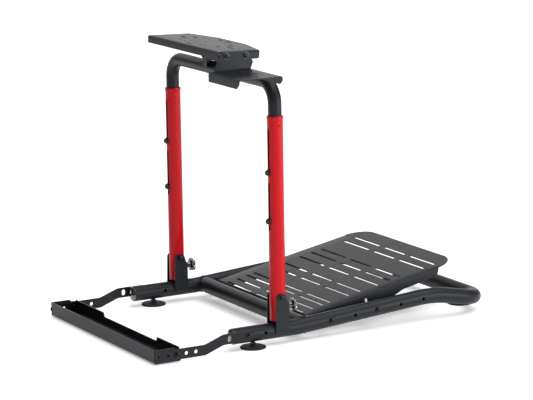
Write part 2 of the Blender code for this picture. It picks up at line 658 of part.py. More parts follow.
def pedal_flange(side, sign):
    """Side flange: shallow along its length, with a lobe that holds the arc slot of the angle bolt."""
    pivot = (PLATE_PIVOT_Y, side_tube_z(PLATE_PIVOT_Y))
    lock = (SIDE_HOLES_Y[2], side_tube_z(SIDE_HOLES_Y[2]))
    reach = hypot(lock[0] - pivot[0], lock[1] - pivot[1])
    rest = atan2(lock[1] - pivot[1], lock[0] - pivot[0]) * 180 / pi
    slope = tan(PEDAL_SLOPE)

    def under(y, depth):
        return (y, PEDAL_FRONT[1] + (y - PEDAL_FRONT[0]) * slope - depth)

    rim = [under(0.176, 0.0013), under(0.176, 0.012), under(0.205, 0.0275), (0.217, 0.0300), (0.229, 0.0325),
           (0.300, 0.0390)]
    rim += arc_points((lock[0] - 0.001, lock[1] - 0.0155), 0.0185, 200, 330, 6)
    rim += [under(0.410, 0.041), under(0.462, 0.0255), under(0.560, 0.0235), under(0.5685, 0.016), under(0.5685, 0.0013)]
    half = 7.8
    slot = (arc_points(pivot, reach + 0.0038, rest - half, rest + half, 6)
            + arc_points(pivot, reach - 0.0038, rest + half, rest - half, 6))
    return side_plate(f"pedal_flange_{side}", [rim, slot, hole(pivot, 0.0038, 12)],
                      sign * (PEDAL_HALF_W - INSET - PEDAL_T / 2), PEDAL_T, True)


def make_pedal_bolts(side, sign):
    """Bolt and spacer sleeve from the side tube to the deck's flange, at the pivot and at the lock."""
    for spot, number in (("pivot", 0), ("lock", 2)):
        y = SIDE_HOLES_Y[number]
        z = side_tube_z(y)
        seat = (sign * (HALF_TRACK + TUBE_R + GAP), y, z)
        shank = HALF_TRACK + TUBE_R + GAP - (PEDAL_HALF_W - 0.012)
        finish(bolt(f"pedal_{spot}_bolt_{side}", seat, (sign, 0, 0), shank, 0.0062, 0.0045, 0.0088), BLACK_BOLT)
        near, far = PEDAL_HALF_W + GAP, HALF_TRACK - TUBE_R - GAP
        sleeve = cylinder(f"pedal_{spot}_spacer_{side}", 0.006, far - near, (sign * (near + far) / 2, y, z), (1, 0, 0), 12, False)
        boolean(sleeve, cylinder(f"spacer_bore_{spot}_{side}", 0.0034, 0.03, (sign * (near + far) / 2, y, z), (1, 0, 0), 12))
        finish(sleeve, BLACK_BOLT)


# ---- caster tray ----
TRAY = joint_empty("tray_swing", 0.0, *ARM_BOLT)
TRAY_HOLES_Y = (-0.2775, -0.2500, -0.2236)
ARM_HOLES_Y = (-0.1975, -0.1712)
ARM_X = HALF_TRACK + TUBE_R + GAP
TRAY_HOLE_Z = 0.0198


def make_arm(side, sign):
    """Flat bar with an edgewise double bend, bolted to the stub and to the tray's end."""
    low, high, depth = TRAY_HOLE_Z, ARM_BOLT[1], 0.0133
    rim = ([(-0.2818, low - depth + 0.002), (-0.280, low - depth), (-0.145, low - depth), (-0.094, high - depth)]
           + arc_points((-0.0225, high), depth, -90, 90, 6)
           + [(-0.094, high + depth), (-0.1455, low + depth), (-0.280, low + depth), (-0.2818, low + depth - 0.002)])
    holes = [hole((y, low), 0.0047, 10) for y in ARM_HOLES_Y] + [hole((y, low), 0.0036) for y in TRAY_HOLES_Y]
    holes += [hole(ARM_BOLT, 0.0036, 10), obround((-0.0773, high), 0.0155, 0.0100, 90)]
    return finish(side_plate(f"tray_arm_{side}", [rim] + holes, sign * (ARM_X + ARM_T / 2), ARM_T), BLACK_COAT, TRAY)


def make_arm_bolt(side, sign):
    seat = (sign * (ARM_X + ARM_T + GAP), *ARM_BOLT)
    return finish(bolt(f"arm_bolt_{side}", seat, (sign, 0, 0), 0.016, 0.0062, 0.0045, 0.0092), BLACK_BOLT)


TAB_ENDS_X = (-0.126, 0.175)


def make_tray():
    """Open channel of folded sheet for the chair's front casters: floor, front wall, a rear wall with
    raised ends, and end plates outside the arms."""
    t, (front, back), (low, high) = SHEET_T, TRAY_Y, TRAY_Z
    end_in = ARM_X + ARM_T + GAP
    end = end_in + t
    inside = ARM_X - GAP
    wide, step = end - 2 * INSET, 2 * INSET
    tray = box("caster_tray", (-wide, front + step, low), (wide, back - step, low + t), False)
    walls = [box("tray_front", (-end + INSET, front + INSET, low + INSET), (end - INSET, front + t, high - INSET))]
    tab, mid = 0.0372, 0.0265
    rear = [(-inside, low + INSET), (inside, low + INSET), (inside, tab), (TAB_ENDS_X[1], tab), (TAB_ENDS_X[1] - 0.006, mid),
            (TAB_ENDS_X[0] + 0.004, mid), (TAB_ENDS_X[0], tab), (-inside, tab)]
    upright = Matrix(((1, 0, 0, 0), (0, 0, 1, back - INSET - t / 2), (0, 1, 0, 0), (0, 0, 0, 1)))
    walls.append(plate("tray_rear", [rear], t, upright, True))
    for side, sign in SIDES:
        foot = low + INSET / 2
        rim = [(front, foot), (back, foot), (back, 0.0335), (-0.262, 0.0345), (-0.268, high), (front, high)]
        holes = [hole((y, TRAY_HOLE_Z), 0.0036) for y in TRAY_HOLES_Y]
        walls.append(side_plate(f"tray_end_{side}", [rim] + holes, sign * (end - t / 2), t, True))
    return finish(join(tray, walls), BLACK_COAT, TRAY)


def make_tray_bolts(side, sign):
    face = ARM_X + ARM_T + GAP + SHEET_T + GAP
    places = [("tray_bolt", TRAY_HOLES_Y[2])] + ([("tray_front_bolt", TRAY_HOLES_Y[0])] if sign < 0 else [])
    for name, y in places:
        seat = (sign * face, y, TRAY_HOLE_Z)
        finish(bolt(f"{name}_{side}", seat, (sign, 0, 0), 0.012, 0.0062, 0.0055, 0.0090), BLACK_BOLT, TRAY)


make_base_tube()
make_cross_tube()
make_crown_tube()
make_saddle()
make_wheel_deck()
make_shifter_bracket()
make_shifter_bolts()
make_pedal_deck()
make_tray()
for foot in FEET:
    make_foot(*foot)
for which in SIDES:
    for make in (make_end_cap, make_hinge_bracket, make_pivot, make_lock_knob, make_upright, make_collar,
                 make_height_bolts, make_saddle_bolts, make_pedal_bolts, make_arm, make_arm_bolt, make_tray_bolts):
        make(*which)
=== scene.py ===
from math import atan2, cos, degrees, hypot, pi, radians, sin, tan

import bmesh
import bpy
import numpy as np
from mathutils import Matrix, Vector
from mathutils.geometry import delaunay_2d_cdt


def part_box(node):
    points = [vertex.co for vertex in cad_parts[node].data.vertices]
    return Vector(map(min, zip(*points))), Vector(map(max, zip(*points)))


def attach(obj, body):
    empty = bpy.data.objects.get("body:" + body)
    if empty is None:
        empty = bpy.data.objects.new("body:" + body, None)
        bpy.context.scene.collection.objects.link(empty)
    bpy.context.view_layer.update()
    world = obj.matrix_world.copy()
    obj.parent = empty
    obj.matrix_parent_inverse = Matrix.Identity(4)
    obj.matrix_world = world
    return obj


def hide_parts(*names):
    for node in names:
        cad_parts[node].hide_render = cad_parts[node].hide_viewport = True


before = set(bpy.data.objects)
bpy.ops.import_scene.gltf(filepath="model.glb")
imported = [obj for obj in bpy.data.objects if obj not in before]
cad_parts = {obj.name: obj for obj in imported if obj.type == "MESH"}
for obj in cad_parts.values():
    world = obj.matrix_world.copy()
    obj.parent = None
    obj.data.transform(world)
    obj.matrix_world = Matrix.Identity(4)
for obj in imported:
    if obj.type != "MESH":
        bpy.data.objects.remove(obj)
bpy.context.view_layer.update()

# ---- Base tube ----
# One length of 40 mm steel tube, bent at the back into a wide U and kinked upwards along each side,
# then powder coated satin black.  Five cross holes a side take the pedal deck, two of them used, and
# each stub has a spare one for the tray's arms.
tube_low, tube_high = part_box("base_tube")
STUB_FRONT_Y = -0.060
STAND_ORIGIN = np.array([(tube_low.x + tube_high.x) / 2, tube_low.y - STUB_FRONT_Y, 0.0])
HALF_TRACK = 0.269
TUBE_R, TUBE_BORE = 0.020, 0.018
STUB_Z, KINK_Y, APEX_Y, APEX_Z, REAR_Y = 0.0363, 0.125, 0.530, 0.066, 0.684


class Value:
    """One output of a shader node.  Arithmetic on values, or on a value and a number, adds Math nodes."""

    def __init__(self, finish, socket):
        self.finish = finish
        self.socket = socket

    def math(self, operation, first, second):
        return self.finish.node("ShaderNodeMath", {"operation": operation}, {0: first, 1: second})

    def __add__(self, other):
        return self.math("ADD", self, other)

    def __sub__(self, other):
        return self.math("SUBTRACT", self, other)

    def __rsub__(self, other):
        return self.math("SUBTRACT", other, self)

    def __mul__(self, other):
        return self.math("MULTIPLY", self, other)

    __radd__ = __add__
    __rmul__ = __mul__


class Finish:
    """A surface finish: a material with its Principled shader and one call that adds any other node."""

    def __init__(self, name, **constants):
        self.material = bpy.data.materials.new(name)
        self.material.use_nodes = True
        self.tree = self.material.node_tree
        self.shader = self.tree.nodes["Principled BSDF"]
        for socket, value in constants.items():
            self.shader.inputs[socket.replace("_", " ")].default_value = value
        self.place = self.node("ShaderNodeTexCoord", output="Object")

    def node(self, kind, settings=None, sockets=None, output=0):
        made = self.tree.nodes.new(kind)
        for setting, value in (settings or {}).items():
            if setting == "stops":
                for stop, (position, level) in zip(made.color_ramp.elements, value):
                    stop.position = position
                    stop.color = (level, level, level, 1.0)
            else:
                setattr(made, setting, value)
        for socket, value in (sockets or {}).items():
            if isinstance(value, Value):
                self.tree.links.new(value.socket, made.inputs[socket])
            else:
                made.inputs[socket].default_value = value
        return Value(self, made.outputs[output])

    def feed(self, **sockets):
        for socket, value in sockets.items():
            self.tree.links.new(value.socket, self.shader.inputs[socket.replace("_", " ")])

    def noise(self, scale, detail=2.0, place=None):
        """Grey noise from 0 to 1; scale is the number of features per metre."""
        sockets = {"Vector": place or self.place, "Scale": scale, "Detail": detail}
        return self.node("ShaderNodeTexNoise", sockets=sockets)

    def ramp(self, value, low, high):
        """0 below the low value and 1 above the high one."""
        return self.node("ShaderNodeValToRGB", {"stops": ((low, 0.0), (high, 1.0))}, {"Fac": value})

    def blend(self, share, first, second):
        return self.node("ShaderNodeMix", {"data_type": "RGBA"}, {0: share, 6: (*first, 1.0), 7: second}, 2)

    def tint(self, share, first, second):
        return self.blend(share, first, (*second, 1.0))

    def relief(self, height, depth):
        """A bump of the given depth in metres."""
        return self.node("ShaderNodeBump", sockets={"Height": height, "Distance": depth, "Strength": 1.0})


def powder_coat(name, deep, pale, roughness, grain_depth, **constants):
    """Baked powder: cloudy colour, fine orange peel with sparse nibs, and faint handling marks."""
    coat = Finish(name, **constants)
    cloud = coat.noise(9.0, 3.0)
    peel = coat.noise(620.0, 2.0)
    nibs = coat.ramp(coat.noise(1900.0, 1.0), 0.58, 0.72)
    rubbed = coat.ramp(coat.noise(31.0, 6.0), 0.56, 0.74)
    coat.feed(Base_Color=coat.tint(cloud * 0.7 + rubbed * 0.3, deep, pale))
    coat.feed(Roughness=peel * 0.08 + nibs * 0.05 + rubbed * 0.05 + (roughness - 0.04))
    coat.feed(Normal=coat.relief(peel + nibs * 0.6, grain_depth))
    return coat.material


BLACK_COAT = powder_coat("black_powder_coat", (0.0078, 0.0086, 0.0108), (0.0140, 0.0155, 0.0192), 0.40, 0.00003,
                         Specular_IOR_Level=0.20, Specular_Tint=(0.88, 0.94, 1.0, 1.0))


def ring_of(sides):
    """Angles of the corners of a regular ring, in radians."""
    return np.arange(sides) * 2 * pi / sides


def quads(rows, columns, close_rows=False):
    """Faces of a grid whose columns close on themselves, as its rows may too."""
    row = np.arange(rows if close_rows else rows - 1)[:, None]
    column = np.arange(columns)
    along, over = (row + 1) % rows * columns, (column + 1) % columns
    return np.stack([row * columns + column, row * columns + over, along + over, along + column], -1).reshape(-1, 4)


def bent_path(corners, step=radians(3)):
    """Straight runs joined by circular bends.  Each corner is (x, y, z, bend radius); the bend's points
    are weighted sums of its two end points seen from its centre, so they stay on the circle."""
    corners = np.array(corners, float)
    points = [corners[:1, :3]]
    for before, at, after in zip(corners, corners[1:], corners[2:]):
        back, on = before[:3] - at[:3], after[:3] - at[:3]
        back, on = back / np.linalg.norm(back), on / np.linalg.norm(on)
        half = np.arccos(np.clip(back @ on, -1, 1)) / 2
        bisector = (back + on) / np.linalg.norm(back + on)
        centre = at[:3] + bisector * at[3] / sin(half)
        start = at[:3] + back * at[3] / tan(half) - centre
        end = at[:3] + on * at[3] / tan(half) - centre
        sweep = pi - 2 * half
        share = np.linspace(0, 1, max(3, int(sweep / step) + 1))[:, None]
        points.append(centre + (start * np.sin((1 - share) * sweep) + end * np.sin(share * sweep)) / sin(sweep))
    points.append(corners[-1:, :3])
    return np.concatenate(points)


def tube_rings(path, radius, across, sides=56):
    """Rings of a round tube: at each station of the path, radius times the cosine and sine of the ring's
    angle along two directions square to the path, the first of them also square to 'across'."""
    ahead = np.gradient(path, axis=0)
    ahead /= np.linalg.norm(ahead, axis=1, keepdims=True)
    side = np.cross(ahead, across)
    side /= np.linalg.norm(side, axis=1, keepdims=True)
    up = np.cross(side, ahead)
    turn = ring_of(sides)[None, :, None]
    radius = np.asarray(radius, float).reshape(-1, 1, 1)
    return path[:, None] + radius * (np.cos(turn) * side[:, None] + np.sin(turn) * up[:, None])


def hollow_tube(path, radius, bore, across, sides=56):
    """A tube with its bore: the outer rings run up the path and the inner rings run back down it."""
    rings = np.concatenate([tube_rings(path, radius, across, sides), tube_rings(path, bore, across, sides)[::-1]])
    return rings.reshape(-1, 3), quads(len(rings), sides, close_rows=True)


def solid_mesh(name, solids):
    """One mesh of several closed shells, each (points, faces), moved to the stand's place."""
    points, faces, count = [], [], 0
    for shell, its_faces in solids:
        points.append(shell + STAND_ORIGIN)
        faces += [[corner + count for corner in face] for face in its_faces]
        count += len(shell)
    mesh = bpy.data.meshes.new(name)
    mesh.from_pydata(np.concatenate(points), [], faces)
    tidy = bmesh.new()
    tidy.from_mesh(mesh)
    bmesh.ops.remove_doubles(tidy, verts=tidy.verts, dist=2e-6)
    bmesh.ops.recalc_face_normals(tidy, faces=tidy.faces)
    tidy.to_mesh(mesh)
    tidy.free()
    return mesh


def add_piece(name, mesh, finish, body, stands_for, sharp=32):
    """Puts a finished mesh in the scene on its body, in place of the CAD nodes that it stands for."""
    mesh.materials.append(finish)
    mesh.shade_smooth()
    mesh.set_sharp_from_angle(angle=radians(sharp))
    piece = bpy.data.objects.new(name, mesh)
    bpy.context.scene.collection.objects.link(piece)
    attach(piece, body)
    if stands_for:
        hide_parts(*stands_for)
    return piece


def cut_away(mesh, cutters):
    """The mesh less some closed shells."""
    blank = bpy.data.objects.new("blank", mesh)
    tool = bpy.data.objects.new("tool", solid_mesh("tool", cutters))
    for item in (blank, tool):
        bpy.context.scene.collection.objects.link(item)
    step = blank.modifiers.new("cut", "BOOLEAN")
    step.object = tool
    step.solver = "EXACT"
    bpy.context.view_layer.update()
    cut = bpy.data.meshes.new_from_object(blank.evaluated_get(bpy.context.evaluated_depsgraph_get()))
    for item in (blank, tool):
        bpy.data.objects.remove(item)
    return cut


def turned(profile, centre, axis, sides=40, outline=None):
    """A turned shape: each row of the profile is (radius, height) or (radius, height, share), and its ring
    stands at that height along the axis.  A row's radius is multiplied by the outline, a function of the
    angle, as far as its share says."""
    rows = np.array([(*row, 0.0)[:3] for row in profile])
    turn = ring_of(sides)
    radius = rows[:, :1] * np.ones(sides)
    if outline is not None:
        radius *= 1 + rows[:, 2:] * (outline(turn) - 1)
    flat = np.stack([radius * np.cos(turn), radius * np.sin(turn), rows[:, 1:2] * np.ones(sides)], -1)
    basis = np.array(Vector(axis).to_track_quat("Z", "Y").to_matrix())
    return (flat @ basis.T + np.array(centre)).reshape(-1, 3), quads(len(rows), sides)


def side_tube_z(y):
    """Height of the side tube's axis on its rising stretch."""
    return STUB_Z + max(0.0, y - KINK_Y) * (APEX_Z - STUB_Z) / (APEX_Y - KINK_Y)


base_corners = [(-HALF_TRACK, STUB_FRONT_Y, STUB_Z, 0), (-HALF_TRACK, KINK_Y, STUB_Z, 0.120),
                (-HALF_TRACK, APEX_Y, APEX_Z, 0.350), (-HALF_TRACK, REAR_Y, STUB_Z, 0.065)]
base_corners += [(-x, y, z, bend) for x, y, z, bend in reversed(base_corners)]
PLATE_HOLES_Y = [0.217 + 0.068 * step for step in range(5)]
SPARE_STUB_HOLE = (0.0262, 0.0384)
HOLE_R = 0.0042
open_holes = []
for x in (-HALF_TRACK, HALF_TRACK):
    spots = [SPARE_STUB_HOLE] + [(y, side_tube_z(y)) for y in np.take(PLATE_HOLES_Y, (1, 3, 4))]
    for y, z in spots:
        bit = [(0, 0.030), (HOLE_R, 0.030), (HOLE_R, -0.030), (0, -0.030)]
        open_holes.append(turned(bit, (x, y, z), (1, 0, 0), 24))
base_path = bent_path(base_corners)
base_mesh = solid_mesh("base_frame_tube", [hollow_tube(base_path, TUBE_R, TUBE_BORE, (0, 0, 1))])
add_piece("base_frame_tube", cut_away(base_mesh, open_holes), BLACK_COAT, "base", ["base_tube"])

# ---- Front cross tube and its welds ----
# A straight 40 mm tube whose ends are coped to the side tubes and welded all round; the bead is a
# row of overlapping puddles under the same black coat.
CROSS_Y, CROSS_SIDES = 0.148, 56
CROSS_Z = side_tube_z(CROSS_Y)


def weld_bead(path, radius, closed=True, ripple=0.0042):
    """A bead along a path: a round bar whose radius swells by an eighth once every ripple of length."""
    ends = np.roll(path, -1, axis=0) - np.roll(path, 1, axis=0) if closed else np.gradient(path, axis=0)
    ahead = ends / np.linalg.norm(ends, axis=1, keepdims=True)
    length = np.concatenate([[0], np.cumsum(np.linalg.norm(np.diff(path, axis=0), axis=1))])
    swell = radius * (1 + 0.13 * np.sin(length * 2 * pi / ripple))
    if not closed:
        swell = swell * np.sqrt(np.clip(np.minimum(length, length[-1] - length) / radius, 0.02, 1))
    helper = np.where(np.abs(ahead[:, 2:]) > 0.8, [[1.0, 0.0, 0.0]], [[0.0, 0.0, 1.0]])
    side = np.cross(ahead, helper)
    side /= np.linalg.norm(side, axis=1, keepdims=True)
    up = np.cross(side, ahead)
    turn = ring_of(10)[None, :, None]
    rings = path[:, None] + swell[:, None, None] * (np.cos(turn) * side[:, None] + np.sin(turn) * up[:, None])
    faces = quads(len(path), 10, close_rows=closed).tolist()
    if not closed:
        faces += [list(range(10)), [len(path) * 10 - 1 - corner for corner in range(10)]]
    return rings.reshape(-1, 3), faces


turn = ring_of(CROSS_SIDES)
reach = HALF_TRACK - (TUBE_R - 0.0002) * np.abs(np.cos(turn))
cross_rings = []
for radius, ends in ((TUBE_R, (-1, -0.5, 0.5, 1)), (TUBE_BORE, (1, 0.5, -0.5, -1))):
    for share in ends:
        ring = [reach * share, CROSS_Y + radius * np.cos(turn), CROSS_Z + radius * np.sin(turn)]
        cross_rings.append(np.stack(ring, -1))
cross = (np.concatenate(cross_rings), quads(len(cross_rings), CROSS_SIDES, close_rows=True))
fine = ring_of(220)
cope = np.stack([HALF_TRACK - 0.0208 * np.abs(np.cos(fine)) - 0.0006, CROSS_Y + 0.0206 * np.cos(fine),
                 CROSS_Z + 0.0206 * np.sin(fine)], -1)
welds = [weld_bead(cope, 0.0019), weld_bead(cope * [-1, 1, 1], 0.0019)]
add_piece("front_cross_member", solid_mesh("front_cross_member", [cross, *welds]), BLACK_COAT, "base",
          ["front_cross_tube"])

# ---- End caps ----
# Glossy moulded plugs pushed into the open front ends of the side tubes: a low dome with a rolled rim
# and a barrel inside the bore.
SIDES = (("left", -1), ("right", 1))


def gloss_plastic(name, deep, pale, roughness):
    """Moulded plastic: nearly even colour, a faint flow pattern in the gloss and very shallow ripples."""
    plastic = Finish(name, Specular_IOR_Level=1.0, Coat_Weight=1.0, Coat_Roughness=0.04)
    flow = plastic.noise(60.0, 4.0)
    plastic.feed(Base_Color=plastic.tint(flow, deep, pale))
    plastic.feed(Roughness=flow * 0.08 + (roughness - 0.04))
    plastic.feed(Normal=plastic.relief(plastic.noise(240.0, 1.0), 0.00002))
    return plastic.material


BLACK_PLASTIC = gloss_plastic("black_moulded_plastic", (0.010, 0.010, 0.011), (0.018, 0.018, 0.019), 0.16)
for side, sign in SIDES:
    cap = [(0, 0.0060), (0.006, 0.0059), (0.011, 0.0053), (0.015, 0.0042), (0.0180, 0.0026), (0.0193, 0.0012),
           (0.0195, 0.0004), (0.0195, 0), (0.0172, 0), (0.0172, -0.012), (0.0150, -0.012), (0.0150, -0.001),
           (0, -0.001)]
    plug = turned(cap, (sign * HALF_TRACK, STUB_FRONT_Y - 0.0004, STUB_Z), (0, -1, 0), 48)
    add_piece(f"tube_plug_{side}", solid_mesh("tube_plug", [plug]), BLACK_PLASTIC, "base",
              [f"stub_end_cap_{side}"])

# ---- Levelling feet ----
# A soft rubber pad moulded round a steel cup, a threaded stem with a jam nut under the tube.  The
# stand rests on four of them.
FEET = (("front_left", -HALF_TRACK, 0.0), ("front_right", HALF_TRACK, 0.0),
        ("rear_left", -0.160, REAR_Y), ("rear_right", 0.160, REAR_Y))


def rubber(name):
    """Matt rubber with fine moulded grain and a little dust in its pores."""
    soft = Finish(name, Specular_IOR_Level=0.3)
    grain = soft.noise(1300.0, 3.0)
    dust = soft.ramp(soft.noise(90.0, 5.0), 0.45, 0.75)
    soft.feed(Base_Color=soft.tint(dust, (0.012, 0.012, 0.012), (0.030, 0.030, 0.030)))
    soft.feed(Roughness=dust * 0.15 + 0.66)
    soft.feed(Normal=soft.relief(grain, 0.00008))
    return soft.material


def black_oxide(name, roughness):
    """Blackened steel: dark metal with oily cloudiness and fine turning marks."""
    steel = Finish(name, Specular_IOR_Level=0.6)
    cloud = steel.noise(210.0, 4.0)
    worn = steel.ramp(steel.noise(720.0, 3.0), 0.60, 0.80)
    steel.feed(Base_Color=steel.tint(worn, (0.022, 0.022, 0.024), (0.085, 0.084, 0.082)))
    steel.feed(Metallic=worn * 0.15 + 0.80)
    steel.feed(Roughness=cloud * 0.16 + (roughness - 0.08))
    steel.feed(Normal=steel.relief(steel.noise(1600.0, 2.0), 0.00002))
    return steel.material


def hexagon(turn):
    """Radius of a hexagon with corners at 1, against the angle."""
    return cos(pi / 6) / np.cos(turn % (pi / 3) - pi / 6)


RUBBER = rubber("pad_rubber")
BLACK_STEEL = black_oxide("blackened_steel", 0.24)


def add_steel(name, solids, body, stands_for):
    """A fixing of blackened steel, made of closed shells."""
    return add_piece(name, solid_mesh(name, solids), BLACK_STEEL, body, stands_for)


for foot, x, y in FEET:
    pad = [(0, 0.0080), (0.0080, 0.0080), (0.0092, 0.0074), (0.0100, 0.0058), (0.0118, 0.0052), (0.0240, 0.0050),
           (0.0298, 0.0047), (0.0318, 0.0038), (0.0325, 0.0026), (0.0325, 0.0010), (0.0318, 0), (0.0285, 0),
           (0.0275, 0.0008), (0.0230, 0.0008), (0.0220, 0), (0, 0)]
    add_piece(f"rubber_foot_{foot}", solid_mesh("rubber_foot", [turned(pad, (x, y, 0), (0, 0, 1), 56)]), RUBBER,
              f"foot_{foot}", [f"foot_pad_{foot}"])
    threads = np.linspace(0.0315, 0.0155, 41)
    stem = [(0, 0.0315)] + [(0.0041 - 0.0004 * (step % 2), height) for step, height in enumerate(threads)]
    stem += [(0.0042, 0.0150), (0.0058, 0.0150, 1), (0.0068, 0.0144, 1), (0.0068, 0.0096, 1), (0.0060, 0.0090, 1),
             (0.0042, 0.0086), (0.0042, 0.0082), (0, 0.0082)]
    nut = turned(stem, (x, y, 0), (0, 0, 1), 48, hexagon)
    add_steel(f"threaded_stem_{foot}", [nut], f"foot_{foot}", [f"foot_stem_{foot}"])

# ---- Hinge brackets ----
# Pressed channels welded astride the side tubes: two cheeks that hold the mast's pivot bolt and a
# rear web that carries the lock knob.  Black coat over 3 mm steel, a weld along each foot.
MAST_Y, PIVOT_Z = 0.0718, 0.1205
CHEEK_OUT, WEB_BACK_Y = 0.0232, 0.0941


def folded(length, start, radius):
    """A sheet's path over a right-angle fold: the distance it still gains straight on, and the distance
    it has dropped, for a length of sheet measured from the middle.  Up to the start it is flat, then it
    follows a quarter circle, then it runs straight down."""
    turn = np.clip((length - start) / radius, 0, pi / 2)
    on = np.minimum(length, start) + radius * np.sin(turn)
    drop = radius * (1 - np.cos(turn)) + np.maximum(0, length - start - radius * pi / 2)
    return on, drop


def unfolded(drop, start, radius):
    """Length of sheet at which a folded flange has dropped so far, beyond the bend."""
    return start + radius * pi / 2 + drop - radius


def fold_lines(start, radius, steps=6):
    return start + np.linspace(0, radius * pi / 2, steps)


def softened(outline, radius, closed=True, steps=5):
    """An outline with each corner rounded: from a radius before it to a radius after it, or half the
    side where that is short, along a curve that bends evenly towards the corner.  One that isn't
    closed keeps its two ends."""
    at = np.array(outline, float)
    back, on = np.roll(at, 1, axis=0) - at, np.roll(at, -1, axis=0) - at
    far_back, far_on = np.linalg.norm(back, axis=1, keepdims=True), np.linalg.norm(on, axis=1, keepdims=True)
    start = at + back / far_back * np.minimum(radius, far_back * 0.49)
    end = at + on / far_on * np.minimum(radius, far_on * 0.49)
    share = np.linspace(0, 1, steps)[None, :, None]
    curve = (1 - share) ** 2 * start[:, None] + 2 * share * (1 - share) * at[:, None] + share ** 2 * end[:, None]
    if closed:
        return curve.reshape(-1, 2)
    return np.concatenate([at[:1], curve[1:-1].reshape(-1, 2), at[-1:]])


def arc(centre, radius, start, end, steps=12):
    """Points on a circle between two angles in degrees."""
    turn = np.radians(np.linspace(start, end, steps))
    return np.stack([centre[0] + radius * np.cos(turn), centre[1] + radius * np.sin(turn)], -1)


def round_hole(centre, radius, sides=20):
    turn = ring_of(sides) + 0.1
    return np.stack([centre[0] + radius * np.cos(turn), centre[1] + radius * np.sin(turn)], -1)


def slot(centre, length, width, angle=0.0):
    """A slot: two half circles joined by straight sides, turned by an angle in degrees."""
    reach = (length - width) / 2
    rim = np.concatenate([arc((reach, 0), width / 2, -90, 90), arc((-reach, 0), width / 2, 90, 270)])
    c, s = cos(radians(angle)), sin(radians(angle))
    return rim @ np.array([[c, s], [-s, c]]) + np.array(centre)


def inside(loop, places):
    """Which places lie inside a closed loop: those from which a ray crosses it an odd number of times."""
    start, end = loop[:, None], np.roll(loop, -1, axis=0)[:, None]
    spans = (start[..., 1] > places[:, 1]) != (end[..., 1] > places[:, 1])
    rise = np.where(spans, end[..., 1] - start[..., 1], 1)
    crossing = start[..., 0] + (places[:, 1] - start[..., 1]) / rise * (end[..., 0] - start[..., 0])
    return (spans & (crossing > places[:, 0])).sum(axis=0) % 2 == 1


def cut_sheet(rim, holes, shape, thickness, across=(), along=()):
    """A pressed sheet.  The flat blank, a rim less its holes, is triangulated and scored at each fold
    line, 'across' at a value of u and 'along' at a value of v.  The shape, a function of u and v,
    carries it to its place; half the thickness goes to each side along the shape's own normal, the
    cross product of its slopes in u and v, and a band of faces closes every edge."""
    loops = [np.array(loop, float) for loop in (rim, *holes)]
    starts = np.cumsum([0] + [len(loop) for loop in loops])
    corners = [Vector(corner) for loop in loops for corner in loop]
    edges = [(first + k, first + (k + 1) % len(loop))
             for first, loop in zip(starts, loops) for k in range(len(loop))]
    flat, _, triangles, *_ = delaunay_2d_cdt(corners, edges, [], 1, 1e-7)
    flat = np.array(flat)
    middles = flat[np.array(triangles)].mean(axis=1)
    kept = inside(loops[0], middles)
    for loop in loops[1:]:
        kept &= ~inside(loop, middles)
    blank = bmesh.new()
    dots = [blank.verts.new((x, y, 0)) for x, y in flat]
    for triangle in np.array(triangles)[kept]:
        blank.faces.new([dots[corner] for corner in triangle])
    for normal, values in (((1, 0, 0), across), ((0, 1, 0), along)):
        for value in values:
            everything = blank.verts[:] + blank.edges[:] + blank.faces[:]
            bmesh.ops.bisect_plane(blank, geom=everything, dist=1e-7, plane_co=Vector(normal) * value, plane_no=normal)
    bmesh.ops.remove_doubles(blank, verts=blank.verts, dist=2e-6)
    bmesh.ops.delete(blank, geom=[dot for dot in blank.verts if not dot.link_faces], context="VERTS")
    blank.verts.index_update()
    u, v = np.array([dot.co[:2] for dot in blank.verts]).T
    faces = [[dot.index for dot in face.verts] for face in blank.faces]
    hems = [[edge.link_loops[0].vert.index, edge.link_loops[0].link_loop_next.vert.index]
            for edge in blank.edges if edge.is_boundary]
    blank.free()
    near = 1e-5
    normal = np.cross(shape(u + near, v) - shape(u - near, v), shape(u, v + near) - shape(u, v - near))
    normal *= thickness / 2 / np.linalg.norm(normal, axis=1, keepdims=True)
    middle, count = shape(u, v), len(u)
    faces += [[corner + count for corner in face[::-1]] for face in faces]
    faces += [[first + count, second + count, second, first] for first, second in hems]
    return np.concatenate([middle + normal, middle - normal]), faces


def add_sheet(name, sheets, finish, body, stands_for, edge=0.0006):
    """A piece of pressed sheets with softened cut edges."""
    piece = add_piece(name, solid_mesh(name, sheets), finish, body, stands_for, 180)
    rim = piece.modifiers.new("rim", "BEVEL")
    rim.width = edge
    rim.segments = 2
    rim.limit_method = "ANGLE"
    rim.angle_limit = radians(50)
    rim.harden_normals = True
    return piece


def upright_in(x):
    """Shape of a flat sheet that stands in a plane of constant x; its blank is drawn as (y, z)."""
    return lambda u, v: np.stack([np.full_like(u, x), u, v], -1)


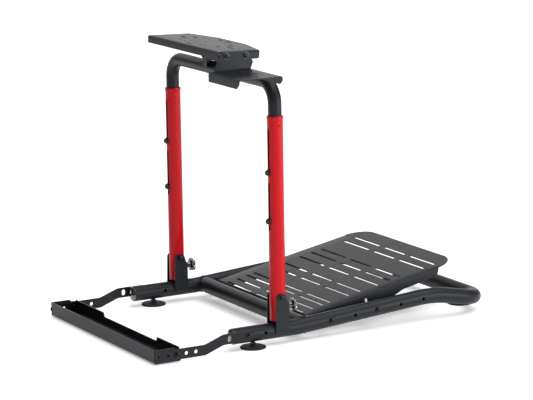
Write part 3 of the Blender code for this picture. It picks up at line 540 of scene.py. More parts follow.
for side, sign in SIDES:
    middle = sign * HALF_TRACK
    wall = 0.0026
    bend = 0.003
    bend_start = CHEEK_OUT - wall / 2 - bend
    web_y = WEB_BACK_Y - wall / 2

    def channel(u, v):
        """Plan of the channel: the sheet runs across the web and folds forward into each cheek."""
        out, forward = folded(np.abs(u), bend_start, bend)
        return np.stack([middle + np.sign(u) * out, web_y - forward, v], -1)

    def cheek_at(y):
        return unfolded(web_y - y, bend_start, bend)

    front_low, front_high = cheek_at(0.053), cheek_at(0.0555)
    half = [(0.012, 0.033), (cheek_at(0.0895), 0.032), (front_low, 0.032), (front_high, 0.122)]
    crown_arc = arc((cheek_at(0.0705), 0.1175), 0.0145, 0, 150, 10)
    crown_arc = crown_arc[crown_arc[:, 1] > 0.1225]
    half += crown_arc.tolist() + [(cheek_at(0.0885), 0.108), (0.0145, 0.1035)]
    outline = softened(half, 0.002)
    rim = np.concatenate([outline, (outline * [-1, 1])[::-1]])
    bolt_holes = [round_hole((s * cheek_at(MAST_Y), PIVOT_Z), 0.0044) for s in (-1, 1)]
    channel_sheet = cut_sheet(rim, bolt_holes + [round_hole((0, 0.0944), 0.0045)], channel, wall,
                              np.concatenate([fold_lines(bend_start, bend), -fold_lines(bend_start, bend)]))
    add_sheet(f"mast_hinge_bracket_{side}", [channel_sheet], BLACK_COAT, "base",
              [f"hinge_bracket_{side}"])
    seams = []
    for face in (-1, 1):
        run = np.linspace(0.0545, 0.0930, 60)
        seam = np.stack([np.full_like(run, middle + face * 0.0222), run, np.full_like(run, 0.0325)], -1)
        seams.append(weld_bead(seam, 0.0016, closed=False))
    around = np.linspace(-0.95, 0.95, 60)
    seam = [middle + 0.0205 * np.sin(around), np.full_like(around, 0.0948), STUB_Z + 0.0205 * np.cos(around)]
    seams.append(weld_bead(np.stack(seam, -1), 0.0016, closed=False))
    add_piece(f"bracket_welds_{side}", solid_mesh("bracket_welds", seams), BLACK_COAT, "base", [])

# ---- Mast pivots ----
# A button-head bolt with a plain washer through both cheeks and the upright, and a nut on the far
# side.  Blackened steel; the socket is a 5 mm hexagon.
def button_bolt(seat, axis, shank, head_r=0.0065, head_h=0.0045, washer_r=0.0095, shank_r=0.003, crown=0.6):
    """A bolt and its washer.  The rows run from the floor of the hexagon socket, up its walls, over the
    domed head, down to the washer and along the shank; the socket's rows are hexagonal."""
    washer = 0.0015
    top, key = washer + head_h, head_r * 0.46
    dome = np.linspace(0, pi / 2, 7)[1:]
    low = top - head_h * crown
    rows = [(0, top - 0.0026, 1), (key, top - 0.0024, 1), (key, top - 0.0002, 1), (key + 0.0004, top, 1)]
    rows += [(head_r * (0.62 + 0.38 * sin(a)), low + (top - low) * cos(a)) for a in dome]
    rows += [(head_r, washer), (washer_r - 0.0003, washer), (washer_r, washer - 0.0003), (washer_r, 0), (shank_r, 0),
             (shank_r, -shank), (0, -shank)]
    return turned(rows, seat, axis, 36, hexagon)


def hex_nut(face, axis, thickness, radius=0.0078, bore=0.0043):
    """A nut that starts at the face and grows along the axis, with chamfered corners."""
    rows = [(bore, 0), (radius * 0.9, 0, 1), (radius, 0.0006, 1), (radius, thickness - 0.0006, 1),
            (radius * 0.9, thickness, 1), (bore, thickness)]
    points, faces = turned(rows, face, axis, 36, hexagon)
    return points, np.concatenate([faces, quads(len(rows), 36, close_rows=True)[-36:]])


for side, sign in SIDES:
    cheek = CHEEK_OUT + 0.0004
    pin = button_bolt((sign * HALF_TRACK + cheek, MAST_Y, PIVOT_Z), (1, 0, 0), 2 * cheek + 0.008, 0.0068, shank_r=0.004,
                      washer_r=0.0098)
    add_steel(f"pivot_screw_{side}", [pin], "base", [f"mast_pivot_bolt_{side}"])
    nut = hex_nut((sign * HALF_TRACK - cheek, MAST_Y, PIVOT_Z), (-1, 0, 0), 0.0065)
    add_steel(f"pivot_nut_{side}", [nut], "base", [f"mast_pivot_nut_{side}"])

# ---- Lock knobs ----
# Five-lobed glossy star knobs moulded on a steel stud; the stud goes through the bracket's web and
# bears on the upright.
KNOB_Z, KNOB_SEAT_Y = 0.0944, 0.0945


def lobes(turn):
    """Five rounded lobes: the radius swells by a tenth at each, with a second wave that flattens their tips."""
    return 1 + 0.115 * np.cos(5 * turn) - 0.015 * np.cos(10 * turn)


for side, sign in SIDES:
    seat = (sign * HALF_TRACK, KNOB_SEAT_Y, KNOB_Z)
    rows = [(0, 0.0275), (0.0050, 0.0275), (0.0056, 0.0272), (0.0060, 0.0264), (0.0085, 0.0267, 0.6),
            (0.0135, 0.0264, 1),
            (0.0156, 0.0255, 1), (0.0164, 0.0238, 1), (0.0166, 0.0210, 1), (0.0163, 0.0180, 1), (0.0152, 0.0163, 1),
            (0.0112, 0.0157, 0.6), (0.0076, 0.0150), (0.0069, 0.0120), (0.0066, 0.0005), (0.0062, 0), (0, 0)]
    star = turned(rows, seat, (0, 1, 0), 100, lobes)
    add_piece(f"star_knob_{side}", solid_mesh("star_knob", [star]), BLACK_PLASTIC, f"lock_{side}",
              [f"lock_knob_{side}"])
    threads = np.linspace(-0.0022, 0.0095, 24)
    rows = [(0, 0.0260), (0.0036, 0.0260), (0.0036, 0.0100)]
    rows += [(0.0037 - 0.0003 * (step % 2), height) for step, height in enumerate(threads[::-1])] + [(0, -0.0022)]
    add_steel(f"knob_stud_{side}", [turned(rows, seat, (0, 1, 0), 24)], f"lock_{side}", [f"lock_stud_{side}"])

# ---- Uprights and collars ----
# Red gloss powder coat on 40 mm tube, with two long slots in the front for the height bolts.  A
# coated collar with a rolled rim is pressed into the top and riveted from both sides.
RED_COAT = powder_coat("red_powder_coat", (0.44, 0.0012, 0.0055), (0.50, 0.0018, 0.0080), 0.30, 0.00002,
                       Specular_IOR_Level=0.10, Coat_Weight=0.22, Coat_Roughness=0.05,
                       Specular_Tint=(1.0, 0.55, 0.55, 1.0))
UPRIGHT_LOW, UPRIGHT_TOP, COLLAR_TOP = 0.061, 0.5637, 0.5745
HEIGHT_SLOTS = ((0.424, 0.546), (0.290, 0.409))


def prism(outline, place_low, place_high):
    """A closed prism between two placings of one outline, each a function of its points."""
    count = len(outline)
    sides = quads(2, count).tolist()
    points = np.concatenate([place_low(outline), place_high(outline)])
    return points, sides + [list(range(count)), list(range(count, 2 * count))]


def facing_front(x, y):
    """Places an outline drawn as (x, z) in the plane of constant y, centred on x."""
    return lambda outline: np.stack([outline[:, 0] + x, np.full(len(outline), y), outline[:, 1]], -1)


for side, sign in SIDES:
    middle = sign * HALF_TRACK
    column = np.array([(middle, MAST_Y, z) for z in np.linspace(UPRIGHT_LOW, UPRIGHT_TOP, 12)])
    blank = solid_mesh("mast_upright", [hollow_tube(column, TUBE_R, 0.0185, (0, 1, 0), 72)])
    windows = [prism(slot((0, (low + high) / 2), high - low, 0.0088, 90), facing_front(middle, MAST_Y - 0.03),
                     facing_front(middle, MAST_Y - 0.008)) for low, high in HEIGHT_SLOTS]
    add_piece(f"mast_upright_{side}", cut_away(blank, windows), RED_COAT, "mast",
              [f"upright_{side}"])
    rows = [(0.0174, COLLAR_TOP - 0.0006), (0.0180, COLLAR_TOP), (0.0200, COLLAR_TOP), (0.0207, COLLAR_TOP - 0.0006),
            (0.0210, COLLAR_TOP - 0.0018), (0.0210, COLLAR_TOP - 0.0072), (0.0207, COLLAR_TOP - 0.0084),
            (0.0200, UPRIGHT_TOP + 0.0003), (0.0180, UPRIGHT_TOP + 0.0003), (0.0180, 0.540), (0.0174, 0.540)]
    points, faces = turned(rows, (middle, MAST_Y, 0), (0, 0, 1), 64)
    collar = (points, np.concatenate([faces, quads(len(rows), 64, close_rows=True)[-64:]]))
    head = [(0, 0.0016), (0.0010, 0.0015), (0.0018, 0.0011), (0.0023, 0.0004), (0.0024, 0), (0.0024, -0.0002),
            (0, -0.0002)]
    rivets = [turned(head, (middle + face * (TUBE_R + 0.0001), MAST_Y, 0.552), (face, 0, 0), 20) for face in (-1, 1)]
    add_piece(f"mast_collar_{side}", solid_mesh("mast_collar", [collar, *rivets]), RED_COAT, "mast",
              [f"upright_collar_{side}"])

# ---- Crown tube and its height bolts ----
# One 34 mm tube bent into an inverted U; its legs slide inside the uprights and are clamped by two
# cap screws a side, each on a wide washer over the slot.
LEG_R, CROWN_Z, CROWN_BEND = 0.017, 0.654, 0.052
SEAT_GAP = 0.0004
crown_corners = [(-HALF_TRACK, MAST_Y, 0.270, 0), (-HALF_TRACK, MAST_Y, CROWN_Z, CROWN_BEND),
                 (HALF_TRACK, MAST_Y, CROWN_Z, CROWN_BEND), (HALF_TRACK, MAST_Y, 0.270, 0)]
crown = hollow_tube(bent_path(crown_corners), LEG_R, 0.015, (0, 1, 0), 56)
add_piece("sliding_crown", solid_mesh("sliding_crown", [crown]), BLACK_COAT, "crown",
          ["crown_tube"])
for side, sign in SIDES:
    for level, z in (("upper", 0.4345), ("lower", 0.3127)):
        screw = button_bolt((sign * HALF_TRACK, MAST_Y - TUBE_R - SEAT_GAP, z), (0, -1, 0), 0.010, 0.0063, 0.0062,
                            0.0092, crown=0.25)
        add_steel(f"height_screw_{level}_{side}", [screw], "crown", [f"height_bolt_{level}_{side}"])

# ---- Saddle bracket ----
# A bent bracket welded over the middle of the crown tube: two notched cheeks, a top web and narrow
# front flanges, in black coat.
SADDLE_HALF, SADDLE_FRONT, SADDLE_BACK, SADDLE_LOW, SADDLE_TOP = 0.055, 0.048, 0.0958, 0.656, 0.7035
TILT_Y, TILT_Z, TILT_REACH = 0.058, 0.688, 0.026
wall, bend = 0.003, 0.003
saddle_start = SADDLE_HALF - wall / 2 - bend


def saddle_shape(u, v):
    """Section of the saddle: across the top web, folding down into each cheek."""
    out, down = folded(np.abs(u), saddle_start, bend)
    return np.stack([np.sign(u) * out, v, SADDLE_TOP - wall / 2 - down], -1)


def saddle_cheek(z):
    return unfolded(SADDLE_TOP - wall / 2 - z, saddle_start, bend)


notch = [(saddle_cheek(CROWN_Z + 0.0176 * sin(a)), MAST_Y - 0.0176 * cos(a)) for a in np.linspace(0.12, pi - 0.12, 20)]
foot_u = saddle_cheek(SADDLE_LOW)
half = [(0, SADDLE_FRONT), (foot_u, SADDLE_FRONT), *notch, (foot_u, SADDLE_BACK),
        (saddle_cheek(0.698), SADDLE_BACK), (saddle_start, SADDLE_BACK - 0.006), (0, SADDLE_BACK - 0.006)]
half = np.array(half)
rim = np.concatenate([half[1:-1], (half[1:-1] * [-1, 1])[::-1]])
bolt_places = [(sign * saddle_cheek(TILT_Z), y) for sign in (-1, 1) for y in (TILT_Y, TILT_Y + TILT_REACH)]
saddle = cut_sheet(rim, [round_hole(place, 0.0033) for place in bolt_places], saddle_shape, wall,
                   np.concatenate([fold_lines(saddle_start, bend), -fold_lines(saddle_start, bend)]))
flanges = []
for sign in (-1, 1):
    flange = softened([(sign * 0.0515, SADDLE_LOW + 0.001), (sign * 0.0515, SADDLE_TOP - 0.004),
                       (sign * 0.0350, SADDLE_TOP - 0.004), (sign * 0.0350, SADDLE_LOW + 0.001)], 0.003)
    flanges.append(cut_sheet(flange, [], lambda u, v: np.stack([u, np.full_like(u, SADDLE_FRONT + 0.0018), v], -1),
                             wall))
add_sheet("crown_saddle", [saddle, *flanges], BLACK_COAT, "crown", ["saddle_bracket"])
EAR_X, EAR_T = 0.0555, 0.003
for side, sign in SIDES:
    for spot, y in (("pivot", TILT_Y), ("lock", TILT_Y + TILT_REACH)):
        screw = button_bolt((sign * (EAR_X + EAR_T + SEAT_GAP), y, TILT_Z), (sign, 0, 0), 0.016, 0.0052, 0.004, 0.0075)
        add_steel(f"deck_{spot}_screw_{side}", [screw], "crown", [f"deck_{spot}_bolt_{side}"])

# ---- Wheel deck ----
# A 3 mm steel plate folded down along the front and both sides and pierced for several wheel bases,
# with two slotted ears welded under it.  It tilts on the saddle's pivot screws.
DECK_HALF, DECK_FRONT_Y, DECK_TOP_Z, DECK_T, DECK_BEND = 0.1885, -0.038, 0.7305, 0.003, 0.0035
DECK_TILT = radians(-2.1)
DECK_SHOULDER, DECK_REAR, DECK_FLANGE = 0.1157, 0.1435, 0.021
deck_start = DECK_HALF - DECK_T / 2 - DECK_BEND
lip_start = -(DECK_T / 2 + DECK_BEND)


def tilted(local, slope, front_y, top_z):
    """Turns local coordinates about X by the slope and sets their origin at the front top edge."""
    x, y, z = local
    return np.stack([x, front_y + y * cos(slope) - z * sin(slope), top_z + y * sin(slope) + z * cos(slope)], -1)


def deck_shape(u, v):
    """The deck: folded down at each side, and again along the front edge."""
    out, side_drop = folded(np.abs(u), deck_start, DECK_BEND)
    in_lip = v < -lip_start
    out, side_drop = np.where(in_lip, np.abs(u), out), np.where(in_lip, 0, side_drop)
    ahead, lip_drop = folded(-v, lip_start, DECK_BEND)
    return tilted((np.sign(u) * out, -ahead, -DECK_T / 2 - side_drop - lip_drop), DECK_TILT, DECK_FRONT_Y, DECK_TOP_Z)


flange_u = unfolded(DECK_FLANGE - DECK_T / 2, deck_start, DECK_BEND)
lip_v = -unfolded(DECK_FLANGE - DECK_T / 2, lip_start, DECK_BEND)
lip_reach = DECK_HALF - 0.0002
half = [(lip_reach, lip_v), (lip_reach, -lip_start - 0.0001), (deck_start - 0.0004, -lip_start + 0.0003),
        (deck_start + 0.0004, -lip_start + 0.0008), (flange_u, -lip_start + 0.0010), (flange_u, DECK_SHOULDER - 0.004),
        (flange_u - 0.004, DECK_SHOULDER - 0.0006),
        (deck_start - 0.0002, DECK_SHOULDER), (0.0635, DECK_REAR)]
half = softened(half, 0.0022)
rim = np.concatenate([half, (half * [-1, 1])[::-1]])
pierced = [round_hole((0, 0.066), 0.0034), slot((0, 0.020), 0.022, 0.007)]
for sign in (-1, 1):
    pierced += [round_hole((sign * x, y), 0.0034) for x in (0.040, 0.066) for y in (0.030, 0.100)]
    pierced += [slot((sign * 0.092, 0.050), 0.020, 0.007, 90 + 35 * sign),
                slot((sign * 0.092, 0.085), 0.020, 0.007, 90 - 35 * sign),
                slot((sign * 0.125, 0.068), 0.030, 0.007), slot((sign * 0.022, 0.120), 0.022, 0.007)]
SHIFTER_BOLTS = ((-0.0175, 0.7190), (0.0360, 0.7172))
pierced += [round_hole((-flange_u + 0.0095, y - DECK_FRONT_Y), 0.0036) for y, _ in SHIFTER_BOLTS]
folds = fold_lines(deck_start, DECK_BEND)
deck = cut_sheet(rim, pierced, deck_shape, DECK_T, np.concatenate([folds, -folds]), -fold_lines(lip_start, DECK_BEND))
ears = []
for sign in (-1, 1):
    rim = np.concatenate([[(TILT_Y - 0.014, 0.7255)], arc((TILT_Y, TILT_Z), 0.0125, 190, 270),
                          arc((TILT_Y + TILT_REACH, TILT_Z), 0.0125, 270, 350),
                          [(TILT_Y + TILT_REACH + 0.014, 0.7235)]])
    track = np.concatenate([arc((TILT_Y, TILT_Z), TILT_REACH + 0.0034, -16, 16),
                            arc((TILT_Y, TILT_Z), TILT_REACH - 0.0034, 16, -16)])
    ears.append(cut_sheet(rim, [track, round_hole((TILT_Y, TILT_Z), 0.0033)], upright_in(sign * (EAR_X + EAR_T / 2)),
                          EAR_T))
add_sheet("wheel_mounting_deck", [deck, *ears], BLACK_COAT, "wheel_platform", ["wheel_deck"])

# ---- Shifter bracket ----
# A pierced shelf of 2.5 mm steel with front and rear lips and an upright web, screwed to the right
# flange of the wheel deck.
SHELF_T, SHELF_BEND, SHELF_Z = 0.0025, 0.003, 0.684
SHELF_IN, SHELF_OUT, SHELF_FRONT, SHELF_REAR = DECK_HALF + 0.0004, 0.348, -0.0700, 0.0510
web_start = SHELF_T / 2 + SHELF_BEND
front_start, rear_start = -SHELF_FRONT - SHELF_T / 2 - SHELF_BEND, SHELF_REAR - SHELF_T / 2 - SHELF_BEND


def shelf_shape(u, v):
    """The shelf: u runs outwards from the web's face, v backwards.  Short of the web's bend the sheet
    turns up; past the front and rear bends it turns down."""
    back_in, rise = folded(-u, -web_start, SHELF_BEND)
    ahead, front_drop = folded(-v, front_start, SHELF_BEND)
    behind, rear_drop = folded(v, rear_start, SHELF_BEND)
    in_web = u < web_start
    y = np.where(in_web, v, np.where(v < 0, -ahead, behind))
    drop = np.where(in_web, 0, front_drop + rear_drop)
    return np.stack([SHELF_IN - back_in, y, SHELF_Z - SHELF_T / 2 + rise - drop], -1)


def web_at(z):
    return -unfolded(z - SHELF_Z + SHELF_T / 2, -web_start, SHELF_BEND)


shelf_end = SHELF_OUT - SHELF_IN
lip_front = -unfolded(0.0230 - SHELF_T / 2, front_start, SHELF_BEND)
lip_rear = unfolded(0.0210 - SHELF_T / 2, rear_start, SHELF_BEND)
rim = [(web_start + 0.001, lip_front), (shelf_end - 0.014, lip_front), (shelf_end - 0.001, lip_front + 0.012),
       (shelf_end, -front_start), (shelf_end, rear_start), (shelf_end - 0.001, lip_rear - 0.010),
       (shelf_end - 0.012, lip_rear), (web_start + 0.001, lip_rear), (web_start + 0.001, rear_start - 0.001),
       (web_start - 0.0003, rear_start - 0.001), (web_start - 0.0006, 0.0500), (0.0005, 0.0505),
       (web_at(0.7000), 0.0570), (web_at(0.7250), 0.0430), (web_at(0.7285), 0.0400), (web_at(0.7298), -0.0305),
       (0.0005, -0.0525), (web_start + 0.0006, -0.0525)]
pierced = [round_hole((x, y), 0.0034) for x in (0.035, 0.075, 0.115) for y in (-0.040, 0.0205)]
pierced += [slot((x, -0.010), 0.018, 0.007) for x in (0.055, 0.095, 0.135)]
pierced += [round_hole((web_at(z), y), 0.0036) for y, z in SHIFTER_BOLTS]
shelf = cut_sheet(softened(rim, 0.002), pierced, shelf_shape, SHELF_T, -fold_lines(-web_start, SHELF_BEND),
                  np.concatenate([-fold_lines(front_start, SHELF_BEND), fold_lines(rear_start, SHELF_BEND)]))
add_sheet("shifter_shelf", [shelf], BLACK_COAT, "wheel_platform", ["shifter_bracket"])
web_face = SHELF_IN + SHELF_T + 0.0004
for place, (y, z) in zip(("front", "rear"), SHIFTER_BOLTS):
    screw = button_bolt((web_face, y, z), (1, 0, 0), 0.011, 0.0063, 0.0045, 0.0092)
    add_steel(f"shifter_screw_{place}", [screw], "wheel_platform", [f"shifter_bolt_{place}"])

# ---- Pedal deck ----
# A long 2.5 mm plate with rounded rear corners, slotted all over for pedals, folded down at the
# front and along both sides; each side flange grows a lobe with the arc slot of the angle screw.
PEDAL_HALF, PEDAL_LENGTH, PEDAL_CORNER, PEDAL_T, PEDAL_BEND = 0.233, 0.462, 0.062, 0.0025, 0.0035
PEDAL_SLOPE = radians(10.6)
PEDAL_FRONT_Y, PEDAL_FRONT_Z = 0.1735, 0.0520
FLANGE_END = 0.405
pedal_start = PEDAL_HALF - PEDAL_T / 2 - PEDAL_BEND
toe_start = -(PEDAL_T / 2 + PEDAL_BEND)


def pedal_shape(u, v):
    """The pedal deck: folded down at the sides as far back as the flange goes, and along the front."""
    out, side_drop = folded(np.abs(u), pedal_start, PEDAL_BEND)
    flat = (v > FLANGE_END) | (v < -toe_start)
    out, side_drop = np.where(flat, np.abs(u), out), np.where(flat, 0, side_drop)
    ahead, toe_drop = folded(-v, toe_start, PEDAL_BEND)
    local = (np.sign(u) * out, -ahead, -PEDAL_T / 2 - side_drop - toe_drop)
    return tilted(local, PEDAL_SLOPE, PEDAL_FRONT_Y, PEDAL_FRONT_Z)


def on_flange(points):
    """Carries (y, z) points of the stand's side view to the unfolded right flange."""
    points = np.array(points, float) - [PEDAL_FRONT_Y, PEDAL_FRONT_Z]
    v = points[:, 0] * cos(PEDAL_SLOPE) + points[:, 1] * sin(PEDAL_SLOPE)
    drop = points[:, 0] * sin(PEDAL_SLOPE) - points[:, 1] * cos(PEDAL_SLOPE) - PEDAL_T / 2
    return np.stack([unfolded(drop, pedal_start, PEDAL_BEND), v], -1)


def under(y, depth):
    return (y, PEDAL_FRONT_Z + (y - PEDAL_FRONT_Y) * tan(PEDAL_SLOPE) - depth)


pivot = (PLATE_HOLES_Y[0], side_tube_z(PLATE_HOLES_Y[0]))
lock = (PLATE_HOLES_Y[2], side_tube_z(PLATE_HOLES_Y[2]))
lock_reach = hypot(lock[0] - pivot[0], lock[1] - pivot[1])
lock_rest = degrees(atan2(lock[1] - pivot[1], lock[0] - pivot[0]))
edge_line = [under(0.1805, 0.013), under(0.205, 0.0275), (0.217, 0.0300), (0.229, 0.0325), (0.300, 0.0390)]
edge_line += arc((lock[0] - 0.001, lock[1] - 0.0155), 0.0185, 200, 330, 12).tolist()
edge_line += [under(0.410, 0.041), under(0.462, 0.0255), under(0.556, 0.0235)]
edge_line += [under(0.566, 0.020), under(0.5700, 0.012)]
toe_v = -unfolded(0.010 - PEDAL_T / 2, toe_start, PEDAL_BEND)
toe_reach = PEDAL_HALF - PEDAL_T - 0.0003
half = [(toe_reach - 0.004, toe_v), (toe_reach, toe_v), (toe_reach, -toe_start - 0.0001),
        (pedal_start - 0.0004, -toe_start + 0.0003),
        (pedal_start + 0.0004, -toe_start + 0.0008), *on_flange(edge_line), (pedal_start + 0.0004, FLANGE_END - 0.0006),
        (pedal_start - 0.0006, FLANGE_END), (PEDAL_HALF - 0.0005, FLANGE_END + 0.0012)]
corner = arc((PEDAL_HALF - PEDAL_CORNER, PEDAL_LENGTH - PEDAL_CORNER), PEDAL_CORNER, 3, 90, 22)
half = np.concatenate([softened(half, 0.002, closed=False, steps=4), corner])
rim = np.concatenate([half, (half * [-1, 1])[::-1]])
SLOT_COLUMNS = ((-0.190, -0.060), (-0.037, 0.066), (0.087, 0.208))
SLOT_ROWS = (0.019, 0.048, 0.078, 0.100, 0.156, 0.191, 0.244, 0.281, 0.312, 0.386, 0.420)
SETBACK = 0.011
pierced = [slot(((a + b) / 2, row - SETBACK), b - a, 0.0078) for row in SLOT_ROWS for a, b in SLOT_COLUMNS]
track = np.concatenate([arc(pivot, lock_reach + 0.0038, lock_rest - 7.8, lock_rest + 7.8),
                        arc(pivot, lock_reach - 0.0038, lock_rest + 7.8, lock_rest - 7.8)])
for sign in (-1, 1):
    pierced += [on_flange(track) * [sign, 1], on_flange(round_hole(pivot, 0.0038)) * [sign, 1]]
folds = fold_lines(pedal_start, PEDAL_BEND)
plate = cut_sheet(rim, pierced, pedal_shape, PEDAL_T, np.concatenate([folds, -folds]),
                  -fold_lines(toe_start, PEDAL_BEND))
add_sheet("pedal_mounting_deck", [plate], BLACK_COAT, "pedal_platform", ["pedal_deck"])

# ---- Pedal deck screws and spacers ----
# Button screws through the side tubes and short turned sleeves into the deck's flanges: the front
# pair is the pivot, the rear pair clamps the angle.
for side, sign in SIDES:
    for spot, y in (("pivot", PLATE_HOLES_Y[0]), ("lock", PLATE_HOLES_Y[2])):
        z = side_tube_z(y)
        seat_x = HALF_TRACK + TUBE_R + SEAT_GAP
        screw = button_bolt((sign * seat_x, y, z), (sign, 0, 0), seat_x - PEDAL_HALF + 0.012, 0.0063, 0.0045, 0.0088)
        add_steel(f"pedal_{spot}_screw_{side}", [screw], "base", [f"pedal_{spot}_bolt_{side}"])
        near, far = PEDAL_HALF + SEAT_GAP, HALF_TRACK - TUBE_R - SEAT_GAP
        rows = [(0.0034, 0), (0.0056, 0), (0.0060, 0.0004), (0.0060, far - near - 0.0004), (0.0056, far - near),
                (0.0034, far - near)]
        points, faces = turned(rows, (sign * near, y, z), (sign, 0, 0), 32)
        sleeve = (points, np.concatenate([faces, quads(len(rows), 32, close_rows=True)[-32:]]))
        add_steel(f"pedal_{spot}_sleeve_{side}", [sleeve], "base", [f"pedal_{spot}_spacer_{side}"])

# ---- Tray arms ----
# Flat 3 mm bars cranked downwards, bolted to the outside of the stubs; spare holes let the tray sit
# nearer or farther.
ARM_Y, ARM_Z, ARM_T, ARM_HALF = -0.0222, 0.0384, 0.003, 0.0133
ARM_X = HALF_TRACK + TUBE_R + 0.0004
TRAY_HOLES_Y, SPARE_HOLES_Y, TRAY_HOLE_Z = (-0.2775, -0.2500, -0.2236), (-0.1975, -0.1712), 0.0198
for side, sign in SIDES:
    lower = [(-0.282, TRAY_HOLE_Z), (-0.2818, TRAY_HOLE_Z - ARM_HALF), (-0.145, TRAY_HOLE_Z - ARM_HALF),
             (-0.094, ARM_Z - ARM_HALF), (ARM_Y - 0.001, ARM_Z - ARM_HALF)]
    upper = [(ARM_Y - 0.001, ARM_Z + ARM_HALF), (-0.094, ARM_Z + ARM_HALF), (-0.1455, TRAY_HOLE_Z + ARM_HALF),
             (-0.2818, TRAY_HOLE_Z + ARM_HALF), (-0.282, TRAY_HOLE_Z + 0.001)]
    rim = np.concatenate([softened(lower, 0.006, closed=False), arc((ARM_Y, ARM_Z), ARM_HALF, -89, 89, 18),
                          softened(upper, 0.006, closed=False)])
    pierced = [round_hole((y, TRAY_HOLE_Z), 0.0047) for y in SPARE_HOLES_Y]
    pierced += [round_hole((y, TRAY_HOLE_Z), 0.0037) for y in TRAY_HOLES_Y]
    pierced += [round_hole((ARM_Y, ARM_Z), 0.0037), slot((-0.0773, ARM_Z), 0.0155, 0.0102, 90)]
    bar = cut_sheet(rim, pierced, upright_in(sign * (ARM_X + ARM_T / 2)), ARM_T)
    add_sheet(f"cranked_arm_{side}", [bar], BLACK_COAT, "caster_stop", [f"tray_arm_{side}"])
    screw = button_bolt((sign * (ARM_X + ARM_T + SEAT_GAP), ARM_Y, ARM_Z), (sign, 0, 0), 0.016, 0.0063, 0.0045, 0.0092)
    add_steel(f"arm_screw_{side}", [screw], "base", [f"arm_bolt_{side}"])

# ---- Caster tray ----
# A shallow folded trough for the front casters of the chair: a floor, a front wall, a rear wall cut
# low in the middle, and end plates screwed outside the arms.
node_low, node_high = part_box("caster_tray")
TRAY_T, TRAY_BEND = 0.0025, 0.003
TRAY_FRONT, TRAY_BACK = node_low.y - STAND_ORIGIN[1], node_high.y - STAND_ORIGIN[1]
TRAY_LOW, TRAY_HIGH = node_low.z, node_high.z
TRAY_END = ARM_X + ARM_T + 0.0004 + TRAY_T
TRAY_MIDDLE = (TRAY_FRONT + TRAY_BACK) / 2
end_start = TRAY_END - TRAY_T / 2 - TRAY_BEND
wall_start = (TRAY_BACK - TRAY_FRONT) / 2 - TRAY_T / 2 - TRAY_BEND


def tray_shape(u, v):
    """The tray: the floor turns up at both ends and at both long walls."""
    out, end_rise = folded(np.abs(u), end_start, TRAY_BEND)
    across, wall_rise = folded(np.abs(v), wall_start, TRAY_BEND)
    in_end = np.abs(u) > end_start
    across, wall_rise = np.where(in_end, np.abs(v), across), np.where(in_end, 0, wall_rise)
    z = TRAY_LOW + TRAY_T / 2 + end_rise + wall_rise
    return np.stack([np.sign(u) * out, TRAY_MIDDLE + np.sign(v) * across, z], -1)


def end_at(z):
    return unfolded(z - TRAY_LOW - TRAY_T / 2, end_start, TRAY_BEND)


def wall_at(z):
    return unfolded(z - TRAY_LOW - TRAY_T / 2, wall_start, TRAY_BEND)


notch_u, wall_reach, end_reach = end_start - 0.0008, ARM_X - 0.0006, (TRAY_BACK - TRAY_FRONT) / 2 - 0.0004
TAB_LEFT, TAB_RIGHT, TAB_Z, MID_Z, END_LOW_Z = -0.126, 0.175, 0.0372, 0.0265, 0.0335


def tray_end(sign):
    """One end of the tray's blank, from its front wall round the end plate to its rear wall."""
    points = [(notch_u, -wall_at(TRAY_HIGH)), (notch_u, -wall_start + 0.0008),
              (end_start + 0.0002, -wall_start + 0.0008),
              (end_start + 0.001, -end_reach), (end_at(TRAY_HIGH), -end_reach), (end_at(TRAY_HIGH), 0.018),
              (end_at(END_LOW_Z), 0.022), (end_at(END_LOW_Z), end_reach), (end_start + 0.001, end_reach),
              (end_start + 0.0002, wall_start - 0.0008), (wall_reach, wall_start - 0.0008),
              (wall_reach, wall_at(TAB_Z))]
    return [(sign * u, v) for u, v in points]


rim = tray_end(1) + [(TAB_RIGHT, wall_at(TAB_Z)), (TAB_RIGHT - 0.006, wall_at(MID_Z)),
                     (TAB_LEFT + 0.004, wall_at(MID_Z)), (TAB_LEFT, wall_at(TAB_Z))] + tray_end(-1)[::-1]
pierced = [round_hole((sign * end_at(TRAY_HOLE_Z), y - TRAY_MIDDLE), 0.0042) for sign in (-1, 1) for y in TRAY_HOLES_Y]
ends, walls = fold_lines(end_start, TRAY_BEND), fold_lines(wall_start, TRAY_BEND)
tray = cut_sheet(softened(rim, 0.002), pierced, tray_shape, TRAY_T, np.concatenate([ends, -ends]),
                 np.concatenate([walls, -walls]))
add_sheet("caster_trough", [tray], BLACK_COAT, "caster_stop", ["caster_tray"])
tray_screws = [("tray_bolt_left", -1, TRAY_HOLES_Y[2]), ("tray_bolt_right", 1, TRAY_HOLES_Y[2]),
               ("tray_front_bolt_left", -1, TRAY_HOLES_Y[0])]
for node, sign, y in tray_screws:
    screw = button_bolt((sign * (TRAY_END + SEAT_GAP), y, TRAY_HOLE_Z), (sign, 0, 0), 0.012, 0.0063, 0.0055, 0.0090)
    nut = hex_nut((sign * (ARM_X - SEAT_GAP), y, TRAY_HOLE_Z), (-sign, 0, 0), 0.005, 0.0062, 0.0031)
    add_steel(node.replace("bolt", "screw"), [screw, nut], "caster_stop", [node])

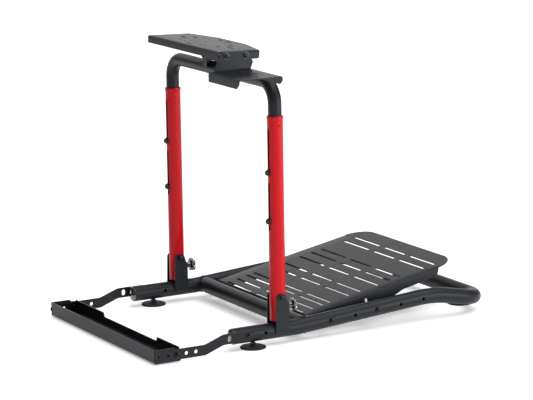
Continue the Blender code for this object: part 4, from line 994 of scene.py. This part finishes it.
# ---- Studio ----
# A pale floor with a faint glow of its own, a dim even surround, a broad sun from overhead, softboxes at the right
# back, the far left back and high at the front right, and a strip at the left;
# the camera stands off the front right corner, a little above the decks.
bpy.context.scene.view_settings.view_transform = "Standard"
world = bpy.context.scene.world or bpy.data.worlds.new("studio")
bpy.context.scene.world = world
world.use_nodes = True
surround = world.node_tree.nodes["Background"]
surround.inputs["Color"].default_value = (1.0, 1.0, 1.0, 1.0)
surround.inputs["Strength"].default_value = 0.13
floor_mesh = bpy.data.meshes.new("studio_floor")
floor_mesh.from_pydata([(-40, -40, 0), (40, -40, 0), (40, 40, 0), (-40, 40, 0)], [], [(0, 1, 2, 3)])
floor = bpy.data.objects.new("studio_floor", floor_mesh)
bpy.context.scene.collection.objects.link(floor)
paper = Finish("studio_paper", Roughness=0.9, Specular_IOR_Level=0.1, Emission_Strength=0.36,
               Emission_Color=(1.0, 1.0, 1.0, 1.0))
paper.feed(Base_Color=paper.tint(paper.noise(0.6), (0.96, 0.96, 0.96), (0.975, 0.975, 0.975)))
floor_mesh.materials.append(paper.material)


def softbox(name, place, target, width, height, power):
    lamp = bpy.data.lights.new(name, "AREA")
    lamp.shape = "RECTANGLE"
    lamp.size, lamp.size_y, lamp.energy = width, height, power
    lit = bpy.data.objects.new(name, lamp)
    lit.location = place
    lit.rotation_euler = (Vector(target) - Vector(place)).to_track_quat("-Z", "Y").to_euler()
    bpy.context.scene.collection.objects.link(lit)


softbox("right_back_box", (3.1, 2.1, 0.9), (0, 0.1, 0.3), 2.0, 1.5, 78)
softbox("backdrop_glow", (-6.0, 3.4, 1.9), (0, 0, 0.6), 8.0, 3.0, 110)
softbox("high_key", (2.2, -0.9, 2.7), (0, 0, 0.3), 0.7, 0.7, 22)
softbox("left_rim_strip", (-3.0, -0.5, 1.75), (0, 0, 0.4), 2.6, 0.45, 10)
sky = bpy.data.lights.new("ceiling", "SUN")
sky.energy, sky.angle = 2.3, radians(60)
ceiling = bpy.data.objects.new("ceiling", sky)
ceiling.rotation_euler = Vector((0.15, 0.25, 1.0)).to_track_quat("Z", "Y").to_euler()
bpy.context.scene.collection.objects.link(ceiling)

LENS_MM, DISTANCE, SIDESTEP, LIFT = 178.85, 6.810, -0.0034, 0.0043
AZIMUTH, ELEVATION, ROLL = radians(60.62), radians(11.45), radians(-0.90)
TARGET = np.array([0, 0.2, 0.3]) + STAND_ORIGIN
back = np.array([sin(AZIMUTH) * cos(ELEVATION), -cos(AZIMUTH) * cos(ELEVATION), sin(ELEVATION)])
level = np.array([cos(AZIMUTH), sin(AZIMUTH), 0])
above = np.cross(back, level)
right = level * cos(ROLL) + above * sin(ROLL)
up = above * cos(ROLL) - level * sin(ROLL)
lens = bpy.data.cameras.new("product_camera")
lens.lens, lens.sensor_width, lens.sensor_fit, lens.clip_end = LENS_MM, 36.0, "HORIZONTAL", 100.0
camera = bpy.data.objects.new("product_camera", lens)
bpy.context.scene.collection.objects.link(camera)
stance = TARGET + back * DISTANCE + right * SIDESTEP + up * LIFT
camera.matrix_world = Matrix(np.vstack([np.column_stack([right, up, back, stance]), [0, 0, 0, 1]]).tolist())
bpy.context.scene.camera = camera
